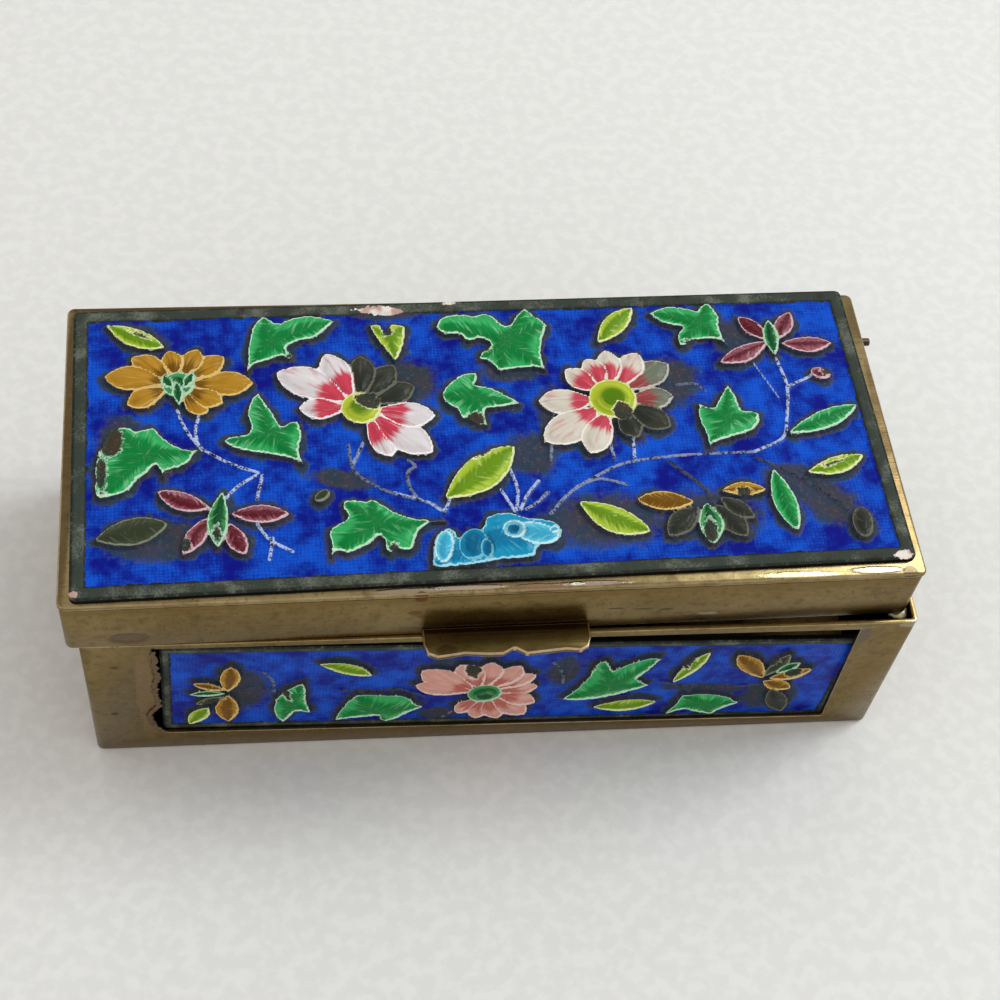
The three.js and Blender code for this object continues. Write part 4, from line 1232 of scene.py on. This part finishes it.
LID_SCARS = (
    Patch((-11.5, 20.0), (3.1, 0.75), -4),
    Patch((-2.6, 20.9), (1.1, 0.35)),
    Patch((48.3, -20.6), (1.2, 0.7)),
    Patch((-49.3, -20.4), (0.6, 0.5)),
)
LID_LOSSES = (
    Patch((-45.2, 0.6), (1.5, 2.4)),
    Patch((-46.3, -4.0), (0.7, 3.0)),
    Patch((-1.2, 1.9), (1.3, 1.0)),
    Patch((-37.9, -4.5), (1.9, 0.9), 18),
    Patch((-23.4, 12.8), (0.5, 0.45)),
    Patch((-14.2, 5.3), (1.7, 1.3), -30),
    Patch((1.0, 13.2), (1.0, 0.85)),
    Patch((4.4, 18.4), (0.8, 0.9)),
    Patch((-12.8, -16.3), (0.7, 0.6)),
    Patch((28.6, 12.8), (1.8, 0.6), -8),
    Patch((-0.6, -3.0), (1.5, 0.45), 32),
    Patch((-6.2, -7.4), (0.5, 1.7), -10),
    Patch((42.4, -7.0), (1.3, 0.35), 18),
    Patch((17.4, 2.2), (1.3, 1.3)),
    Patch((30.4, -10.8), (1.0, 0.8)),
    Patch((-36.8, -14.6), (0.8, 1.0)),
    Patch((-41.6, 16.8), (1.5, 0.4), -28),
    Patch((-10.9, 16.2), (0.7, 0.9)),
    Patch((44.7, 7.3), (0.8, 0.5)),
    Patch((25.2, -16.2), (0.9, 1.7)),
    Patch((-33.1, -13.4), (0.5, 1.2)),
)
LID_SOOT = (
    Patch((-9.2, 8.2), (4.6, 4.4)),
    Patch((-18.2, -6.0), (4.4, 1.7), -12),
    Patch((13.0, -13.6), (9.0, 4.6)),
    Patch((24.5, 7.2), (4.2, 4.4)),
    Patch((40.6, -12.0), (6.2, 3.6), -40),
    Patch((-42.0, 17.0), (5.2, 2.4), -26),
    Patch((-38.8, -13.8), (7.4, 3.2), 6),
    Patch((4.0, 9.6), (4.6, 2.2)),
    Patch((5.4, -3.4), (3.8, 3.8)),
    Patch((9.0, 2.4), (2.6, 5.2)),
    Patch((-43.8, 0.4), (3.6, 5.0)),
    Patch((33.4, 13.6), (3.4, 3.8)),
    Patch((26.0, -13.6), (7.4, 4.4)),
    Patch((-10.6, 19.8), (6.6, 1.6)),
    Patch((36.6, -8.4), (3.8, 2.4)),
)
FRONT_MOTIFS = (
    Leaf((-27.03, -3.07), (
        (-25.7, 2.1, 1), (-25.37, 0.27), (-25.2, -2.07), (-24.87, -4.07), (-24.47, -5.73, 1),
        (-25.53, -5.23), (-26.53, -5.23), (-27.03, -6.4), (-27.93, -8.07, 1), (-28.7, -6.73),
        (-29.13, -4.73), (-29.03, -1.9, 1), (-28.2, -0.4), (-27.03, 1.1)
    )),
    Leaf((-16.7, -4.87), (
        (-21.27, -7.7, 1), (-21.03, -6.2), (-20.37, -4.2), (-19.87, -2.87), (-19.03, -1.37, 1),
        (-17.53, -1.2), (-15.2, -1.53), (-13.2, -1.7), (-11.87, -2.87), (-11.37, -3.87),
        (-10.2, -4.6, 1), (-11.37, -5.53), (-12.37, -6.53), (-13.53, -7.7), (-14.87, -8.37, 1),
        (-15.6, -7.7), (-15.7, -6.87), (-17.2, -7.03), (-19.2, -7.27)
    )),
    Leaf((13.4, 0.2), (
        (7.67, -3.3, 1), (8.73, -1.47), (9.57, 0.53), (10.23, 2.53), (10.4, 4.53), (10.9, 5.87),
        (11.73, 6.47, 1), (12.4, 5.2), (13.07, 3.87), (14.07, 4.87), (15.07, 5.7), (16.4, 6.53),
        (17.73, 6.93), (18.73, 6.7, 1), (18.23, 5.53), (17.57, 3.87), (16.73, 2.2), (16.57, 1.53),
        (17.73, 0.53), (18.4, 0.03, 1), (17.4, -0.8), (15.73, -1.8), (13.73, -2.8), (11.4, -3.47),
        (9.07, -3.63)
    )),
    Leaf((26.6, -4.8), (
        (23.4, -3, 1), (25.9, -2.7), (29, -3.3), (31.5, -5.2, 1), (29.6, -6.75), (28.4, -8.3, 1),
        (25.9, -7.4), (24.3, -6.75), (22.1, -8, 1), (23.1, -5.2)
    )),
    Blade((-39.7, -8.1), (-37.3, -3.8), 1.2, Tint.LIME),
    Blade((-24.0, 6.8), (-17.3, 3.7), 1.2, Tint.LIME),
    Blade((12.0, -5.7), (20.3, -4.6), 1.5, Tint.LIME),
    Blade((21.4, 0.5), (24.7, 8.2), 1.1, Tint.LIME),
    Bloom((-2.7, -1.4), 2.2, ((14, 6.9), (38, 7.6), (62, 8.0), (90, 8.0), (118, 8.5), (144, 10.6), (165, 9.4),
                              (240, 6.0), (266, 6.7), (290, 7.2), (315, 8.4), (338, 7.4)),
          Tint.ROSE, Tint.CALYX, 4.5, {}),
    Blade((-34.9, 0.2), (-34.6, 6.5), 1.3, Tint.AMBER),
    Blade((-34.9, -0.6), (-34.8, -7.5), 1.5, Tint.AMBER),
    Blade((-35.2, 0.6), (-39.2, 2.4), 0.8, Tint.AMBER),
    Blade((-35.2, -0.2), (-39.6, -0.3), 0.7, Tint.CALYX),
    Blade((-35.2, -1.0), (-38.9, -2.8), 0.8, Tint.OLIVE),
    Blade((33.2, 1.4), (28.5, 7.4), 1.5, Tint.AMBER),
    Blade((33.2, 1.8), (35.3, 7.4), 1.1, Tint.OLIVE),
    Blade((34.0, 1.2), (39.2, 3.4), 1.3, Tint.AMBER),
    Blade((33.4, 0.6), (37.6, -1.6), 1.3, Tint.AMBER),
    Blade((35.0, -1.6), (38.0, -7.8), 1.5, Tint.GONE),
    Blade((34.6, 2.6), (37.2, 5.2), 1.0, Tint.CALYX),
)
FRONT_STEMS = (
    Stem(((-33.6, -0.4), (-31.2, 0.6), (-28.8, -1.0)), 0.1, 0.2),
    Stem(((-30.6, 4.4), (-29.4, 2.0), (-29.2, -0.6)), 0.3),
    Stem(((-21.0, -0.6), (-17.6, -1.0), (-14.0, -0.4), (-10.2, -2.6)), 0.1, 0.2),
    Stem(((-9.8, 1.6), (-8.2, -1.2), (-6.6, -2.4)), 0.4),
    Stem(((-6.0, -6.4), (-7.4, -8.2)), 0.3),
    Stem(((5.2, 5.6), (6.8, 2.8), (7.2, 0.2)), 0.3),
    Stem(((20.0, 0.2), (24.0, -1.2), (29.0, -1.6), (33.2, -1.0)), 0.1, 0.24),
    Stem(((23.0, -1.2), (24.6, -3.0)), 0.1, 0.2),
)
FRONT_LOSSES = (
    Patch((-36.8, -2.2), (1.4, 0.7), 25),
    Patch((37.0, 2.8), (1.2, 0.8), 20),
    Patch((33.4, 5.8), (0.9, 1.4)),
    Patch((10.2, 4.6), (0.6, 1.2)),
    Patch((-4.8, 4.6), (1.0, 1.6), 20),
    Patch((22.6, 5.4), (0.5, 1.6), -20),
    Patch((-27.8, -0.4), (0.5, 1.6), 20),
)
FRONT_SOOT = (
    Patch((-33.0, 0.0), (3.6, 6.0)),
    Patch((35.4, -4.0), (4.6, 4.6)),
    Patch((26.0, -1.8), (7.0, 1.4), -4),
    Patch((-8.4, 3.4), (3.6, 4.0)),
    Patch((-8.0, -7.4), (3.0, 2.0)),
    Patch((7.0, 3.2), (2.6, 4.2)),
)

# The lid sits askew on the box, and its panel is turned a little on it.
LID_PLACE = Matrix.Translation((-1.7 * MM, 0.6 * MM, 0)) @ Matrix.Rotation(math.radians(0.8), 4, "Z")
LID_PANEL_PLACE = (LID_PLACE @ Matrix.Translation((-0.14 * MM, 0.26 * MM, 36.1 * MM))
                   @ Matrix.Rotation(math.radians(0.8), 4, "Z"))
FRONT_PANEL_PLACE = (Matrix.Translation((0.9 * MM, -21.2 * MM, 12.45 * MM))
                     @ Matrix.Rotation(math.radians(90), 4, "X") @ Matrix.Rotation(math.radians(-1.9), 4, "Z"))


# ---------- the brass pieces ----------
@dataclass
class SheetPiece:
    """A brass piece worked up from its CAD solid: merged, its edges broken, then given its metal."""

    name: str
    node: str
    body: str
    slot: str
    finish: AgedBrass
    edge: AgedBrass = WORN_EDGE
    break_width: float = 0.1
    break_segments: int = 2

    def build(self) -> bpy.types.Object:
        """Copies the solid and rounds its edges."""
        made = copy_of(self.node, self.name)
        made.data.materials.append(self.finish.make())
        made.data.materials.append(self.edge.make())
        apply_modifier(made, "BEVEL", width=self.break_width * MM, segments=self.break_segments, material=1,
                       limit_method="ANGLE", angle_limit=math.radians(32), miter_outer="MITER_ARC")
        choose(made)
        bpy.ops.object.shade_smooth_by_angle(angle=math.radians(35))
        return made


@dataclass(frozen=True)
class TornEdge:
    """The ragged burr of bare metal down the torn left side of the front window."""

    bottom: Point = (-42.2, 4.4)
    top: Point = (-42.5, 25.0)
    tear: tuple[Point, ...] = ((-43.6, 6.4), (-43.9, 9.1), (-42.6, 11.6), (-42.9, 16.4), (-42.4, 18.2))
    face: float = -22.0
    rows: int = 90
    inward: float = 0.3
    width: float = 0.4
    proud: float = 0.16
    thickness: float = 0.12

    def build(self) -> bpy.types.Object:
        """A jagged ribbon along the tear, curled out from the wall."""
        deselect()
        bpy.ops.mesh.primitive_grid_add(x_subdivisions=4, y_subdivisions=self.rows, size=1)
        made = bpy.context.active_object
        made.name = "torn_edge"
        share = coordinates(made)[:, :2] * MM + 0.5
        route = np.array([self.bottom, *self.tear, self.top])
        at = np.interp(share[:, 1], np.linspace(0, 1, len(route)), np.arange(len(route)))
        x = np.interp(at, np.arange(len(route)), route[:, 0])
        z = np.interp(at, np.arange(len(route)), route[:, 1])
        row = np.rint(share[:, 1] * self.rows).astype(int)
        ragged = np.random.default_rng(7).random((3, self.rows + 1))
        wide, pushed, lifted = (shares[row] for shares in ragged)
        across = share[:, 0] * (self.width + 0.4 * wide) - self.width + self.inward * pushed
        curl = np.sin(np.pi * share[:, 0]) ** 0.7 * self.proud * (0.5 + lifted)
        write_coordinates(made, np.stack([x + across, self.face - 0.02 - curl, z], 1))
        apply_modifier(made, "SOLIDIFY", thickness=self.thickness * MM, offset=0.0)
        made.data.materials.append(TORN_BRASS.make())
        return made


@dataclass(frozen=True)
class SolderFill:
    """A lump of old solder in the body's front right corner, just under the lid."""

    centre: Place = (48.9, -19.9, 25.3)
    reach: Place = (1.35, 1.35, 0.75)

    def build(self) -> bpy.types.Object:
        """A flattened, uneven lump."""
        deselect()
        bpy.ops.mesh.primitive_ico_sphere_add(subdivisions=4, radius=1)
        made = bpy.context.active_object
        made.name = "solder_lump"
        ball = coordinates(made) * MM
        uneven = 1 - 0.1 * (1 + np.sin(ball[:, :1] * 5) * np.sin(ball[:, 1:2] * 6)) / 2
        write_coordinates(made, np.array(self.centre) + ball * uneven * np.array(self.reach))
        bpy.ops.object.shade_smooth()
        made.data.materials.append(SOLDER_FILL.make())
        return made


# ---------- the studio ----------
@dataclass(frozen=True)
class Studio:
    """Pale table, a soft window at the right, and the camera.

    Attributes:
        focal_length: The lens, for a sensor 36 mm wide.
        azimuth: Degrees that the camera stands round from the front, towards the right.
        elevation: Degrees that it looks down.
        roll: Degrees that it is turned on its own axis.
        distance: How far it stands from its target.
        target: What it looks at.
        window_place: The middle of the window.
        window_size: Its side.
        window_power: Its power in watts.
        room: Linear colour of the light from all round.
    """

    focal_length: float = 65.14
    azimuth: float = -12.7585
    elevation: float = 54.9062
    roll: float = 9.2807
    distance: float = 238.564
    target: Place = (1.7386, 3.2862, 18.0)
    window_place: Place = (970.0, 315.0, 1020.0)
    window_size: float = 530.0
    window_power: float = 9.4
    room: Colour = (0.72, 0.695, 0.675)

    def camera(self) -> None:
        """Places the camera."""
        az, el = math.radians(self.azimuth), math.radians(self.elevation)
        back = Vector((math.sin(az) * math.cos(el), -math.cos(az) * math.cos(el), math.sin(el)))
        across = Vector((0, 0, 1)).cross(back).normalized()
        upright = Matrix((across, back.cross(across), back)).transposed()
        turned = upright @ Matrix.Rotation(math.radians(self.roll), 3, "Z")
        data = bpy.data.cameras.new("camera")
        data.lens = self.focal_length
        data.sensor_width = 36.0
        data.clip_start = 0.01
        camera = bpy.data.objects.new("camera", data)
        place = Matrix.Translation((Vector(self.target) + back * self.distance) * MM)
        camera.matrix_world = place @ turned.to_4x4()
        bpy.context.scene.collection.objects.link(camera)
        bpy.context.scene.camera = camera

    def table(self) -> None:
        """Lays the table."""
        deselect()
        bpy.ops.mesh.primitive_plane_add(size=6.0, location=(0, 0, -0.0001))
        floor = bpy.context.active_object
        floor.name = "table"
        shade = Shade("table")
        at = shade.place()
        speck = shade.noise(at, 0.5, 3.0)
        colour = shade.mix(srgb(227, 227, 224), srgb(233, 233, 230), speck.step(0.42, 0.62))
        shade.finish(colour, 0.62, 0.0, shade.bump(speck * 0.05))
        floor.data.materials.append(shade.material)

    def light(self) -> None:
        """Sets the soft room light and the window."""
        world = bpy.data.worlds.new("room")
        world.use_nodes = True
        background = world.node_tree.nodes["Background"]
        background.inputs["Color"].default_value = (*self.room, 1.0)
        background.inputs["Strength"].default_value = 1.0
        bpy.context.scene.world = world
        data = bpy.data.lights.new("window", "AREA")
        data.energy, data.size, data.color = self.window_power, self.window_size * MM, (0.9, 0.97, 1.0)
        lamp = bpy.data.objects.new("window", data)
        facing = Vector(self.window_place).to_track_quat("Z", "Y").to_matrix().to_4x4()
        lamp.matrix_world = Matrix.Translation(Vector(self.window_place) * MM) @ facing
        bpy.context.scene.collection.objects.link(lamp)


def main() -> None:
    """Builds the box's looks in order."""
    logging.basicConfig(level=logging.INFO, format="%(name)s %(message)s")
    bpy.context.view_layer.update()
    bpy.context.scene.view_settings.view_transform = "Standard"
    studio = Studio()
    studio.camera()
    studio.table()
    studio.light()

    for piece in (
        SheetPiece("lid_band", "lid_walls", "lid", "brass", LID_BRASS, break_width=0.08),
        SheetPiece("lid_plate", "lid_top_plate", "lid", "brass", PLATE_BRASS, break_width=0.12),
        SheetPiece("thumb_lip", "thumb_tab", "lid", "tab_brass", TAB_BRASS_AND_SHADE, TAB_EDGE_WEAR_AND_HIGHLIGHT, 0.2, 3),
        SheetPiece("leaf_on_body", "hinge_leaf_body", "box", "brass", HINGE_BRASS),
        SheetPiece("leaf_on_lid", "hinge_leaf_lid", "lid", "brass", HINGE_BRASS),
        SheetPiece("pin", "hinge_pin", "box", "wire", PIN_WIRE, PIN_WIRE, 0.15, 3),
    ):
        dress(piece.build(), piece.body, piece.node)
    tray = SheetPiece("body_tray", "box_body", "box", "brass", BODY_BRASS)
    body = tray.build()
    join_onto(body, TornEdge().build(), SolderFill().build())
    dress(body, tray.body, tray.node)

    lid = EnamelPanel("lid_enamel_panel", LID_PANEL_PLACE, -49.8, 49.8, -21.2, 21.2, 1.8, 0.235, LID_MOTIFS,
                      LID_STEMS, LID_LOSSES, LID_SOOT, LID_SCARS)
    dress(lid.build(), "lid", "lid_plaque")
    front = EnamelPanel("front_enamel_panel", FRONT_PANEL_PLACE, -43.0, 44.3, -9.9, 10.3, 1.2, 0.17,
                        FRONT_MOTIFS, FRONT_STEMS, FRONT_LOSSES, FRONT_SOOT, corner=0.5)
    dress(front.build(), "box", "front_plaque")


if __name__ == "__main__":
    main()
